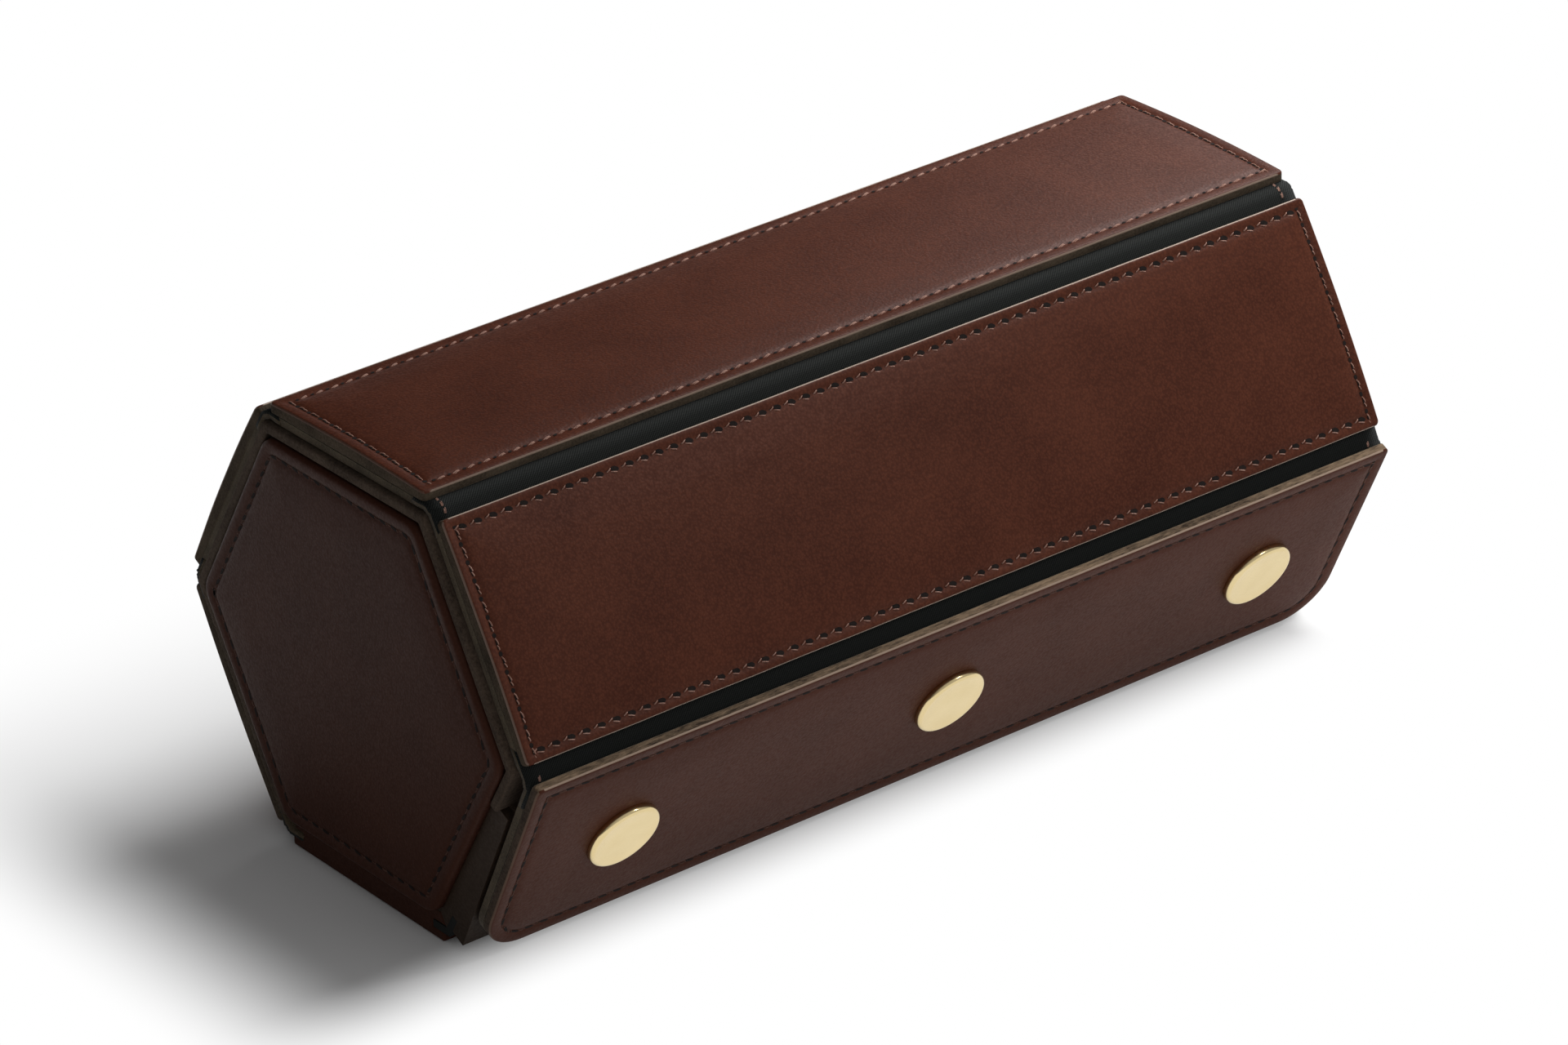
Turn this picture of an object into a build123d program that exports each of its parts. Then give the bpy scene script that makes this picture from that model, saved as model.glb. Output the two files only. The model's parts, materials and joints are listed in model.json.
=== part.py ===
from build123d import *
import os
from math import cos, radians, sin, tan

# Leather watch roll for three watches.
# It is a six-sided roll. Five stiff leather panels, joined by black fabric hinges, wrap round a
# tray with six-sided ends. The tray holds three watch cushions, and the last panel is a flap
# that closes on the tray's front wall with three brass snaps.
# The roll lies along X, its flap faces -Y, and it stands on the tray's base at Z = 0.

# Driving sizes of the closed roll, in mm
across_flats = 90.0
panel_length = 199.0
panel_width = 46.0
panel_corner_radius = 1.0
faces = 6

# Layers of a wrap panel
leather_thickness = 2.0
lining_thickness = 1.5
hinge_tuck = 3.0

# Flap: it leans a little off the six-sided shape, because the snaps hold it away from the wall
flap_angle = 115.3
flap_reach = 48.8
flap_width = 46.0
flap_overhang = 1.5
flap_corner_radius = 9.5
flap_lining_start = 6.5

# Tray: base and front wall
base_padding_thickness = 1.5
tray_lining_thickness = 1.1
end_fold_thickness = 2.0
base_rear_margin = 0.8
wall_gap = 1.0
wall_top_drop = 12.4

# Six-sided ends
face_thickness = 2.0
face_corner_radius = 3.0
face_gap = 0.6
end_board_thickness = 2.5
end_lining_thickness = 1.2
collar_thickness = 2.0
collar_depth = 8.0
collar_proud = 1.2
wrap_clearance = 0.3

# Dividers between the watches
compartments = 3
divider_board_thickness = 2.0
divider_suede_thickness = 0.8

# Snaps
snap_end_margin = 24.8
snap_across = 2.0
cap_diameter = 15.0
cap_height = 1.8
cap_rim_radius = 0.7
cap_post_diameter = 3.0
post_clearance = 0.05
socket_diameter = 12.0
socket_bore = 6.9
socket_roof = 0.5
socket_proud = 0.2
socket_clearance = 0.3
stud_flange_diameter = 10.0
stud_flange_thickness = 0.5
stud_diameter = 6.4
stud_height = 1.8
stud_edge_radius = 0.4
rivet_diameter = 3.0
rivet_head_diameter = 8.0
rivet_head_thickness = 0.6
rivet_depth_in_stud = 1.0
rivet_cover = 0.2

# Watch cushions
cushion_width = 58.0
cushion_height = 46.0
cushion_length = 48.0
cushion_flat = 2.0
cushion_cover_thickness = 2.0
cushion_edge_radius = 6.0
cushion_clearance = 0.3
core_clearance = 0.1

# Distances from the roll's centre line, worked out from the sizes above
turn = 360 / faces
apothem = across_flats / 2
axis_height = apothem
half_length = panel_length / 2
half_width = panel_width / 2
fabric_out = apothem - leather_thickness
wrap_in = fabric_out - lining_thickness
board_in = wrap_in
padding_in = board_in - base_padding_thickness
tray_in = padding_in - tray_lining_thickness
lining_half = half_width - hinge_tuck
flap_fabric_out = flap_reach - leather_thickness
flap_in = flap_fabric_out - lining_thickness
wall_out = flap_in - wall_gap
wall_padding_out = wall_out - leather_thickness
inner_half_length = half_length - end_fold_thickness

# Outward directions of the faces, in degrees from straight up, turning towards the front
TOP, FRONT, WALL, BASE, REAR_LOWER, REAR_UPPER = [i * turn for i in range(faces)]


def point(angle, across, out):
    """Return (y, z) at a distance across a face from its middle and out from the centre line."""
    a = radians(angle)
    y = -sin(a) * out - cos(a) * across
    z = cos(a) * out - sin(a) * across
    return y, axis_height + z


def meet(angle_a, out_a, angle_b, out_b):
    """Return (y, z) where two flat faces cross, each given by its direction and distance."""
    a, b = radians(angle_a), radians(angle_b)
    spread = sin(b - a)
    y = (out_b * cos(a) - out_a * cos(b)) / -spread
    z = (out_a * sin(b) - out_b * sin(a)) / spread
    return y, axis_height + z


def prism(points, x_from=-half_length, x_to=half_length):
    """Stretch an outline in the YZ plane along X."""
    outline = make_face(Plane.YZ * Polyline(*points, close=True))
    return Pos(x_from, 0, 0) * extrude(outline, x_to - x_from, dir=(1, 0, 0))


def slab(angle, across_from, across_to, out_from, out_to, x_from=-half_length, x_to=half_length):
    corners = [(across_from, out_from), (across_to, out_from), (across_to, out_to), (across_from, out_to)]
    return prism([point(angle, across, out) for across, out in corners], x_from, x_to)


def face_plane(angle, across, out, x=0.0):
    """Plane on a face with local x along the roll, local y up the face and local z outwards."""
    a = radians(angle)
    y, z = point(angle, across, out)
    return Plane(origin=(x, y, z), x_dir=(1, 0, 0), z_dir=(0, -sin(a), cos(a)))


def sheet(angle, across_from, across_to, out_from, thickness, upper_radius, lower_radius):
    """Flat piece of leather or lining with rounded corners along its two long edges."""
    width = across_to - across_from
    outline = Rectangle(panel_length, width)
    upper = outline.vertices().filter_by(lambda v: v.Y > 0)
    lower = outline.vertices().filter_by(lambda v: v.Y < 0)
    if upper_radius:
        outline = fillet(upper, upper_radius)
        lower = outline.vertices().filter_by(lambda v: v.Y < -width / 2 + 0.001)
    if lower_radius:
        outline = fillet(lower, lower_radius)
    plane = face_plane(angle, (across_from + across_to) / 2, out_from)
    return extrude(plane * outline, thickness)


def hexagon(out):
    return [meet(i * turn, out, (i + 1) * turn, out) for i in range(faces)]


def mitre(out):
    """Half the side of the six-sided shape at this distance from the centre line."""
    return out * tan(radians(turn / 2))


def fabric_hinge(angle_a, out_a, across_a, angle_b, out_b, across_b):
    """Fabric with its suede backing, folded round one long corner of the roll."""
    return prism([
        point(angle_a, across_a, out_a),
        meet(angle_a, out_a, angle_b, out_b),
        point(angle_b, across_b, out_b),
        point(angle_b, across_b, out_b - lining_thickness),
        meet(angle_a, out_a - lining_thickness, angle_b, out_b - lining_thickness),
        point(angle_a, across_a, out_a - lining_thickness),
    ])


def mirrored_pair(shape):
    """Return the left and the right copy of a piece that was drawn at the right end."""
    return {"left": mirror(shape, Plane.YZ), "right": shape}


def round_piece(radius, height):
    return Cylinder(radius, height, align=(Align.CENTER, Align.CENTER, Align.MIN))


nodes = {}

# Tray base: leather below, folded up over the ends of the board, the padding and the lining
base_end = half_width - base_rear_margin
base_fill = [
    (-lining_half, fabric_out), (lining_half, fabric_out), (lining_half, board_in),
    (base_end, board_in), (base_end, tray_in),
    (-mitre(tray_in), tray_in), (-mitre(board_in), board_in), (-lining_half, board_in),
]
base_leather = slab(BASE, -half_width, half_width, fabric_out, apothem)
for side in (-1, 1):
    near, far = sorted((side * inner_half_length, side * half_length))
    base_leather += prism([point(BASE, across, out) for across, out in base_fill], near, far)
nodes["base_leather"] = base_leather
nodes["base_board"] = slab(
    BASE, -lining_half, lining_half, board_in, fabric_out, -inner_half_length, inner_half_length)
nodes["base_padding"] = prism([
    point(BASE, -mitre(board_in), board_in), point(BASE, base_end, board_in),
    point(BASE, base_end, padding_in), point(BASE, -mitre(padding_in), padding_in),
], -inner_half_length, inner_half_length)
nodes["base_lining"] = prism([
    point(BASE, -mitre(padding_in), padding_in), point(BASE, base_end, padding_in),
    point(BASE, base_end, tray_in), point(BASE, -mitre(tray_in), tray_in),
], -inner_half_length, inner_half_length)

# Flap edges: its top edge stands past the fold of its hinge
fold_y, fold_z = meet(FRONT, fabric_out, flap_angle, flap_fabric_out)
flap_radians = radians(flap_angle)
fold_across = -cos(flap_radians) * fold_y - sin(flap_radians) * (fold_z - axis_height)
flap_from = fold_across - flap_overhang
flap_to = flap_from + flap_width
flap_lining_from = flap_from + flap_lining_start

# Tray front wall: it is padded, and thicker at the foot, so that the flap lies along it.
# It ends well below the flap's top edge, because that edge swings inwards as the roll opens.
wall_top = flap_from + wall_top_drop
wall_foot = half_width


def wall_section(inner_out):
    """Outline of the wall between its inner face and the back of its outer leather."""
    return [
        meet(WALL, inner_out, flap_angle + 90, wall_top),
        point(WALL, mitre(inner_out), inner_out),
        point(WALL, mitre(board_in), board_in),
        point(WALL, lining_half, board_in),
        point(WALL, lining_half, fabric_out),
        point(WALL, wall_foot, fabric_out),
        meet(flap_angle, wall_padding_out, WALL + 90, wall_foot),
        meet(flap_angle, wall_padding_out, flap_angle + 90, wall_top),
    ]


wall_leather = prism([
    meet(flap_angle, wall_padding_out, flap_angle + 90, wall_top),
    meet(flap_angle, wall_padding_out, WALL + 90, wall_foot),
    meet(flap_angle, wall_out, WALL + 90, wall_foot),
    meet(flap_angle, wall_out, flap_angle + 90, wall_top),
])
for side in (-1, 1):
    near, far = sorted((side * inner_half_length, side * half_length))
    wall_leather += prism(wall_section(tray_in), near, far)
wall_padding = prism(wall_section(padding_in), -inner_half_length, inner_half_length)
nodes["front_wall_lining"] = prism([
    meet(WALL, tray_in, flap_angle + 90, wall_top), point(WALL, mitre(tray_in), tray_in),
    point(WALL, mitre(padding_in), padding_in), meet(WALL, padding_in, flap_angle + 90, wall_top),
], -inner_half_length, inner_half_length)
nodes["corner_fabric"] = fabric_hinge(
    WALL, fabric_out, lining_half, BASE, fabric_out, -lining_half)

# Six-sided ends: stitched leather face, stiff board, suede lining and a leather collar
face_out = wrap_in - wrap_clearance - collar_thickness - face_gap
collar_out = wrap_in - wrap_clearance
face = prism(hexagon(face_out), half_length, half_length + face_thickness)
face = fillet(face.edges().filter_by(Axis.X), face_corner_radius)
board = prism(hexagon(tray_in), half_length - end_board_thickness, half_length)
lining_from = half_length - end_board_thickness - end_lining_thickness
end_lining = prism(hexagon(tray_in), lining_from, half_length - end_board_thickness)
collar = prism(hexagon(collar_out), half_length - collar_depth, half_length + collar_proud)
collar -= prism(hexagon(collar_out - collar_thickness),
                half_length - collar_depth, half_length + collar_proud)
collar -= slab(BASE, -apothem, apothem, tray_in, 2 * apothem,
               half_length - collar_depth, half_length + collar_proud)
collar -= prism([
    meet(WALL, tray_in, flap_angle + 90, wall_top), point(WALL, apothem, tray_in),
    point(WALL, apothem, 2 * apothem), meet(WALL, 2 * apothem, flap_angle + 90, wall_top),
], half_length - collar_depth, half_length + collar_proud)
end_pieces = {"end_face": face, "end_board": board, "end_lining": end_lining, "end_collar": collar}
for name, shape in end_pieces.items():
    for side, copy in mirrored_pair(shape).items():
        nodes[f"{name}_{side}"] = copy

# Dividers: a board with suede on both sides, so that the tray has three equal compartments
divider_thickness = divider_board_thickness + 2 * divider_suede_thickness
compartment_length = (2 * lining_from - (compartments - 1) * divider_thickness) / compartments
divider_x = (compartment_length + divider_thickness) / 2
board_half = divider_board_thickness / 2
divider_board = prism(hexagon(tray_in), divider_x - board_half, divider_x + board_half)
skins = [
    prism(hexagon(tray_in), divider_x + board_half, divider_x + divider_thickness / 2),
    prism(hexagon(tray_in), divider_x - divider_thickness / 2, divider_x - board_half),
]
for side, copy in mirrored_pair(divider_board).items():
    nodes[f"divider_board_{side}"] = copy
for side, copy in mirrored_pair(Compound(skins)).items():
    nodes[f"divider_suede_{side}"] = copy

# Four wrap panels: outer leather on a suede lining that stops where the hinges are tucked in
wrap_panels = {"rear_lower": REAR_LOWER, "rear_upper": REAR_UPPER, "top": TOP, "front": FRONT}
for name, angle in wrap_panels.items():
    nodes[f"{name}_leather"] = sheet(
        angle, -half_width, half_width, fabric_out, leather_thickness,
        panel_corner_radius, panel_corner_radius)
    nodes[f"{name}_lining"] = slab(angle, -lining_half, lining_half, wrap_in, fabric_out)

# Hinges at the five corners that turn
corners = {
    "rear_bottom": (BASE, REAR_LOWER), "rear_middle": (REAR_LOWER, REAR_UPPER),
    "rear_top": (REAR_UPPER, TOP + 360), "front_top": (TOP, FRONT),
}
for name, (before, after) in corners.items():
    nodes[f"hinge_fabric_{name}"] = fabric_hinge(
        before, fabric_out, lining_half, after, fabric_out, -lining_half)

# Flap and its hinge
nodes["hinge_fabric_flap"] = fabric_hinge(
    FRONT, fabric_out, lining_half, flap_angle, flap_fabric_out, flap_lining_from)
flap_leather = sheet(
    flap_angle, flap_from, flap_to, flap_fabric_out, leather_thickness,
    panel_corner_radius, flap_corner_radius)
flap_lining = sheet(
    flap_angle, flap_lining_from, flap_to, flap_in, lining_thickness, 0, flap_corner_radius)

# Snaps: the cap's post goes through the flap into the socket, and the stud is riveted to the wall
socket_in = flap_in - socket_proud
snap_pitch = half_length - snap_end_margin
snap_places = {"left": -snap_pitch, "centre": 0.0, "right": snap_pitch}
cap_head = round_piece(cap_diameter / 2, cap_height)
cap_head = fillet(cap_head.edges().sort_by(Axis.Z)[-1], cap_rim_radius)
post_length = flap_reach - flap_fabric_out + socket_roof
cap = cap_head + Pos(0, 0, -post_length) * round_piece(cap_post_diameter / 2, post_length)
socket_height = flap_fabric_out - socket_in
socket = round_piece(socket_diameter / 2, socket_height)
socket -= round_piece(socket_bore / 2, socket_height - socket_roof)
socket -= round_piece(cap_post_diameter / 2 + post_clearance, socket_height)
stud = round_piece(stud_flange_diameter / 2, stud_flange_thickness)
stud += round_piece(stud_diameter / 2, stud_height)
stud = fillet(stud.edges().sort_by(Axis.Z)[-1], stud_edge_radius)
stud -= round_piece(rivet_diameter / 2 + post_clearance, rivet_depth_in_stud)
head_edge = snap_across - rivet_head_diameter / 2
wall_back_y, wall_back_z = meet(WALL, padding_in, flap_angle + 90, head_edge)
wall_back = -sin(flap_radians) * wall_back_y + cos(flap_radians) * (wall_back_z - axis_height)
rivet_in = wall_back + rivet_cover
rivet_length = wall_out + rivet_depth_in_stud - rivet_in
rivet = round_piece(rivet_head_diameter / 2, rivet_head_thickness)
rivet += round_piece(rivet_diameter / 2, rivet_length)

for side, x in snap_places.items():
    on_flap = face_plane(flap_angle, snap_across, flap_reach, x).location
    in_flap = face_plane(flap_angle, snap_across, socket_in, x).location
    on_wall = face_plane(flap_angle, snap_across, wall_out, x).location
    in_wall = face_plane(flap_angle, snap_across, rivet_in, x).location
    nodes[f"snap_cap_{side}"] = on_flap * cap
    nodes[f"snap_socket_{side}"] = in_flap * socket
    nodes[f"snap_stud_{side}"] = on_wall * stud
    nodes[f"snap_rivet_{side}"] = in_wall * rivet
    flap_hole = round_piece(cap_post_diameter / 2 + post_clearance, leather_thickness)
    flap_leather -= on_flap * (Pos(0, 0, -leather_thickness) * flap_hole)
    flap_lining -= in_flap * round_piece(socket_diameter / 2 + socket_clearance, socket_height)
    rivet_hole = round_piece(rivet_diameter / 2 + post_clearance, rivet_length)
    head_space = round_piece(rivet_head_diameter / 2, rivet_head_thickness)
    wall_leather -= in_wall * rivet_hole
    wall_padding -= in_wall * (rivet_hole + head_space)
nodes["flap_leather"] = flap_leather
nodes["flap_lining"] = flap_lining
nodes["front_wall_leather"] = wall_leather
nodes["front_wall_padding"] = wall_padding


def cushion_form(inset):
    """Oval cushion with a flat underside, made smaller all round by the inset."""
    half_height = cushion_height / 2 - inset
    flat_level = -cushion_height / 2 + cushion_flat + inset
    oval = Ellipse(cushion_width / 2 - inset, half_height)
    below = Pos(0, flat_level - cushion_height / 2) * Rectangle(cushion_width, cushion_height)
    length = cushion_length - 2 * inset
    form = Pos(-length / 2, 0, 0) * extrude(Plane.YZ * (oval - below), length, dir=(1, 0, 0))
    return fillet(form.edges().filter_by(Axis.X, reverse=True), cushion_edge_radius - inset)


# Watch cushions: a suede cover over a foam core, one in each compartment
cushion_middle = axis_height - tray_in + cushion_clearance + cushion_height / 2 - cushion_flat
cushion_cover = cushion_form(0) - cushion_form(cushion_cover_thickness)
cushion_core = cushion_form(cushion_cover_thickness + core_clearance)
compartment_pitch = compartment_length + divider_thickness
cushion_places = {"left": -compartment_pitch, "centre": 0.0, "right": compartment_pitch}
for side, x in cushion_places.items():
    nodes[f"cushion_cover_{side}"] = Pos(x, 0, cushion_middle) * cushion_cover
    nodes[f"cushion_core_{side}"] = Pos(x, 0, cushion_middle) * cushion_core

os.makedirs("parts", exist_ok=True)
for name, shape in nodes.items():
    export_step(shape, f"parts/{name}.step")
print(len(nodes), "nodes")
print("flap fold at", round(fold_y, 3), round(fold_z, 3), "flap across", round(flap_from, 2))
print("compartment", round(compartment_length, 2), "cushion pitch", round(compartment_pitch, 3))
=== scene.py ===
# %% [markdown]
# A leather watch roll, dressed in Blender.
# The solids come from the CAD model, which is already at its real size and in its real place. This
# lesson gives each visible surface its finish: leather that is pressed down along its seams, thread,
# twill, suede and satin brass. Places are measured on the model's own pieces, so the looks follow
# when a size changes. Only small amounts, such as how far a seam lies from its edge, are read off
# the photograph, and they stand here as named sizes.

# %% Load the frame
import json
from math import cos, pi, radians, sin, sqrt, tan

import bmesh
import bpy
import numpy as np
from mathutils import Euler, Matrix, Vector, noise


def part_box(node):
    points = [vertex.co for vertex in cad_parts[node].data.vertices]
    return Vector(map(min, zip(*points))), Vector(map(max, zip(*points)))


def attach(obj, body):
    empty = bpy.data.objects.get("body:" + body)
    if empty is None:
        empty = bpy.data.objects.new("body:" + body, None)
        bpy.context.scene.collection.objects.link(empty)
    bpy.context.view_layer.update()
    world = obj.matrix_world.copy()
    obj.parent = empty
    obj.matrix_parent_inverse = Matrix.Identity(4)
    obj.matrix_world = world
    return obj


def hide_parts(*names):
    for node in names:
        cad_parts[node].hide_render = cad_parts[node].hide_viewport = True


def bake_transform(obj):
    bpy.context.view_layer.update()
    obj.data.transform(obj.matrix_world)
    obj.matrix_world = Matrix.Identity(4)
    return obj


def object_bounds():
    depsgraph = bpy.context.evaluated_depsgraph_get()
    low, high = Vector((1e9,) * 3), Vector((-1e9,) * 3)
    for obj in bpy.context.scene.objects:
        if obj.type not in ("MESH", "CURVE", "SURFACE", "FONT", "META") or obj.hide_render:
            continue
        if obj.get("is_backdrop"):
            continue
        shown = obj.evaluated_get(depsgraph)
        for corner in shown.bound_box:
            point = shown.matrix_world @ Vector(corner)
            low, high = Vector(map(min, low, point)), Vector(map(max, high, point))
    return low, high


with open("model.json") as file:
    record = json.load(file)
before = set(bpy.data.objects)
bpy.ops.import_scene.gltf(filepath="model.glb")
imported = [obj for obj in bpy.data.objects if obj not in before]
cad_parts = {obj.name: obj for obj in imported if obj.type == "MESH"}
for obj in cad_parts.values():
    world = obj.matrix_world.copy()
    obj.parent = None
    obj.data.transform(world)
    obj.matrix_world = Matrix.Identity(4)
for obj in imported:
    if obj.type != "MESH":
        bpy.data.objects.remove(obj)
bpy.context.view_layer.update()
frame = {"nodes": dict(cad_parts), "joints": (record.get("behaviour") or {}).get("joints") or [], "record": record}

mm = 0.001
print("pieces in the frame", len(frame["nodes"]))

# %% [markdown]
# Every flat side of the roll is worked on in its own axes: x along the roll, y up the side and z
# straight out of it, counted from the roll's centre line. A side is named by the direction in which
# it faces, in degrees from straight up, turning towards the front. One matrix per side takes points
# from these axes to the real place, and its inverse measures the CAD pieces.

# %% Sides and how to measure on them
axis_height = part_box("top_leather")[1].z / 2
side_turn = 60
joint_of = {joint["name"]: joint for joint in frame["joints"]}
side_angle = {"top": 0, "front": side_turn, "wall": 2 * side_turn, "base": 3 * side_turn,
              "rear_lower": 4 * side_turn, "rear_upper": 5 * side_turn}
side_angle["flap"] = side_turn + joint_of["flap_hinge"]["range_deg"][1]


def side_matrix(angle):
    """Axes of one side: x along the roll, y up the side, z out of it, from the centre line."""
    a = radians(angle)
    up = Vector((0, cos(a), sin(a)))
    out = Vector((0, -sin(a), cos(a)))
    axes = Matrix((Vector((1, 0, 0)), up, out)).transposed().to_4x4()
    return Matrix.Translation((0, 0, axis_height)) @ axes


def extent(node, angle):
    """Lowest and highest corner of a CAD piece in the axes of one side."""
    back = side_matrix(angle).inverted()
    points = np.array([back @ v.co for v in frame["nodes"][node].data.vertices])
    return Vector(points.min(0)), Vector(points.max(0))


for name in ("top", "front", "flap"):
    low, high = extent(f"{name}_leather", side_angle[name])
    print(name, "leather in mm:", [round(v / mm, 2) for v in high - low])

# %% [markdown]
# Materials are built from a few shared effects. Each effect is a node group that puts out only a
# mask or a height, so one group serves several finishes with its own numbers in each of them. The
# shader itself stays in the material. All patterns read Object coordinates, in metres, which works
# because every piece's object sits at the origin.

# %% Helpers for node groups and materials
def new_group(name, inputs, outputs):
    """Make a shader node group with named float or vector sockets."""
    group = bpy.data.node_groups.new(name, "ShaderNodeTree")
    for label, kind, default in inputs:
        socket = group.interface.new_socket(label, in_out="INPUT", socket_type=kind)
        if default is not None:
            socket.default_value = default
    for label in outputs:
        group.interface.new_socket(label, in_out="OUTPUT", socket_type="NodeSocketFloat")
    return group, group.nodes.new("NodeGroupInput"), group.nodes.new("NodeGroupOutput")


def add(tree, kind, links=(), **settings):
    """Add a node, set its properties and wire or fill its inputs by name or by number."""
    node = tree.nodes.new(kind)
    for key, value in settings.items():
        setattr(node, key, value)
    for key, source in dict(links).items():
        if isinstance(source, bpy.types.NodeSocket):
            tree.links.new(source, node.inputs[key])
        else:
            node.inputs[key].default_value = source
    return node


def maths(tree, operation, *values):
    """Add a math node and return its result."""
    return add(tree, "ShaderNodeMath", dict(enumerate(values)), operation=operation).outputs[0]


def remap(tree, value, from_low, from_high, to_low, to_high):
    """Stretch the part of a value's range that matters to a new range."""
    return add(tree, "ShaderNodeMapRange", {
        "Value": value, "From Min": from_low, "From Max": from_high,
        "To Min": to_low, "To Max": to_high}).outputs["Result"]


def blend_colours(tree, mask, first, second):
    """Mix two colours, or a colour with another node's colour, by a mask."""
    node = add(tree, "ShaderNodeMix", {0: mask}, data_type="RGBA")
    for socket, colour in ((node.inputs[6], first), (node.inputs[7], second)):
        if isinstance(colour, bpy.types.NodeSocket):
            tree.links.new(colour, socket)
        else:
            socket.default_value = (*colour, 1)
    return node.outputs[2]


def use_group(tree, group, **values):
    """Place a shared effect and wire or fill its inputs by name."""
    node = add(tree, "ShaderNodeGroup", node_tree=group)
    for label, value in values.items():
        socket = node.inputs[label.replace("_", " ")]
        if isinstance(value, bpy.types.NodeSocket):
            tree.links.new(value, socket)
        else:
            socket.default_value = value
    return node


# %% Shared effect: leather grain
grain_group, group_in, group_out = new_group(
    "leather_grain", [("Vector", "NodeSocketVector", None), ("Pore", "NodeSocketFloat", 0.001)],
    ["Height", "Tone"])
per_pore = maths(grain_group, "DIVIDE", 1.0, group_in.outputs["Pore"])
cells = add(grain_group, "ShaderNodeTexVoronoi", {
    "Vector": group_in.outputs["Vector"], "Scale": per_pore}, feature="SMOOTH_F1")
wrinkle_scale = maths(grain_group, "MULTIPLY", per_pore, 0.35)
wrinkles = add(grain_group, "ShaderNodeTexNoise", {
    "Vector": group_in.outputs["Vector"], "Scale": wrinkle_scale, "Detail": 6.0,
    "Roughness": 0.62, "Distortion": 0.6})
cloud_scale = maths(grain_group, "MULTIPLY", per_pore, 0.03)
clouds = add(grain_group, "ShaderNodeTexNoise", {
    "Vector": group_in.outputs["Vector"], "Scale": cloud_scale, "Detail": 4.0})
pebbles = maths(grain_group, "SUBTRACT", 1.0, cells.outputs["Distance"])
folds = maths(grain_group, "MULTIPLY", wrinkles.outputs["Fac"], 0.9)
grain_group.links.new(maths(grain_group, "ADD", pebbles, folds), group_out.inputs["Height"])
grain_group.links.new(clouds.outputs["Fac"], group_out.inputs["Tone"])

# %% Shared effect: cut fibres of a raw edge or a suede
fibre_group, group_in, group_out = new_group(
    "fibres", [("Vector", "NodeSocketVector", None), ("Size", "NodeSocketFloat", 0.0004)],
    ["Height", "Tone"])
per_fibre = maths(fibre_group, "DIVIDE", 1.0, group_in.outputs["Size"])
tufts = add(fibre_group, "ShaderNodeTexNoise", {
    "Vector": group_in.outputs["Vector"], "Scale": per_fibre, "Detail": 5.0, "Roughness": 0.75})
patch_scale = maths(fibre_group, "MULTIPLY", per_fibre, 0.06)
patches = add(fibre_group, "ShaderNodeTexNoise", {
    "Vector": group_in.outputs["Vector"], "Scale": patch_scale, "Detail": 3.0})
fibre_group.links.new(tufts.outputs["Fac"], group_out.inputs["Height"])
both = maths(fibre_group, "ADD", maths(fibre_group, "MULTIPLY", tufts.outputs["Fac"], 0.6),
             maths(fibre_group, "MULTIPLY", patches.outputs["Fac"], 0.4))
fibre_group.links.new(both, group_out.inputs["Tone"])

# %% Shared effect: twill weave, from the cloth's own map
twill_group, group_in, group_out = new_group(
    "twill", [("Vector", "NodeSocketVector", None), ("Yarn", "NodeSocketFloat", 0.0005)],
    ["Height", "Tone"])
apart = add(twill_group, "ShaderNodeSeparateXYZ", {0: group_in.outputs["Vector"]})
turns = maths(twill_group, "DIVIDE", 2 * pi, group_in.outputs["Yarn"])
along = maths(twill_group, "MULTIPLY", apart.outputs["X"], turns)
across = maths(twill_group, "MULTIPLY", apart.outputs["Y"], turns)
ribs = maths(twill_group, "SINE", maths(twill_group, "ADD", along, across))
picks = maths(twill_group, "SINE", maths(twill_group, "SUBTRACT", along,
                                         maths(twill_group, "MULTIPLY", across, 2.0)))
woven = maths(twill_group, "ADD", maths(twill_group, "MULTIPLY", ribs, 0.32),
              maths(twill_group, "MULTIPLY", picks, 0.18))
lifted = maths(twill_group, "ADD", woven, 0.5)
for label in ("Height", "Tone"):
    twill_group.links.new(lifted, group_out.inputs[label])
print("shared effects:", [g.name for g in bpy.data.node_groups])


# %% [markdown]
# A finish is a Principled shader with a colour, a roughness and a bump. Numbers that are the same
# all over are set on the shader itself, and only what changes over the surface is wired in.

# %% Finishes
grain_strength = 0.28
grain_relief = 0.12 * mm
fibre_relief = 0.2 * mm
weave_strength = 0.5
weave_relief = 0.12 * mm


def new_material(name, **plain):
    """Start a material and return its tree and its shader, with plain values on the sockets."""
    material = bpy.data.materials.new(name)
    material.use_nodes = True
    tree = material.node_tree
    shader = tree.nodes["Principled BSDF"]
    for label, value in plain.items():
        shader.inputs[label.replace("_", " ")].default_value = value
    return material, tree, shader


def finish_with(tree, shader, colour, roughness, height, strength, distance):
    """Wire what changes over the surface into the shader."""
    tree.links.new(colour, shader.inputs["Base Color"])
    tree.links.new(roughness, shader.inputs["Roughness"])
    bump = add(tree, "ShaderNodeBump", {
        "Height": height, "Strength": strength, "Distance": distance})
    tree.links.new(bump.outputs["Normal"], shader.inputs["Normal"])


def object_point(tree):
    """Point of the surface in metres, in the piece's own axes."""
    return add(tree, "ShaderNodeTexCoord").outputs["Object"]


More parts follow.
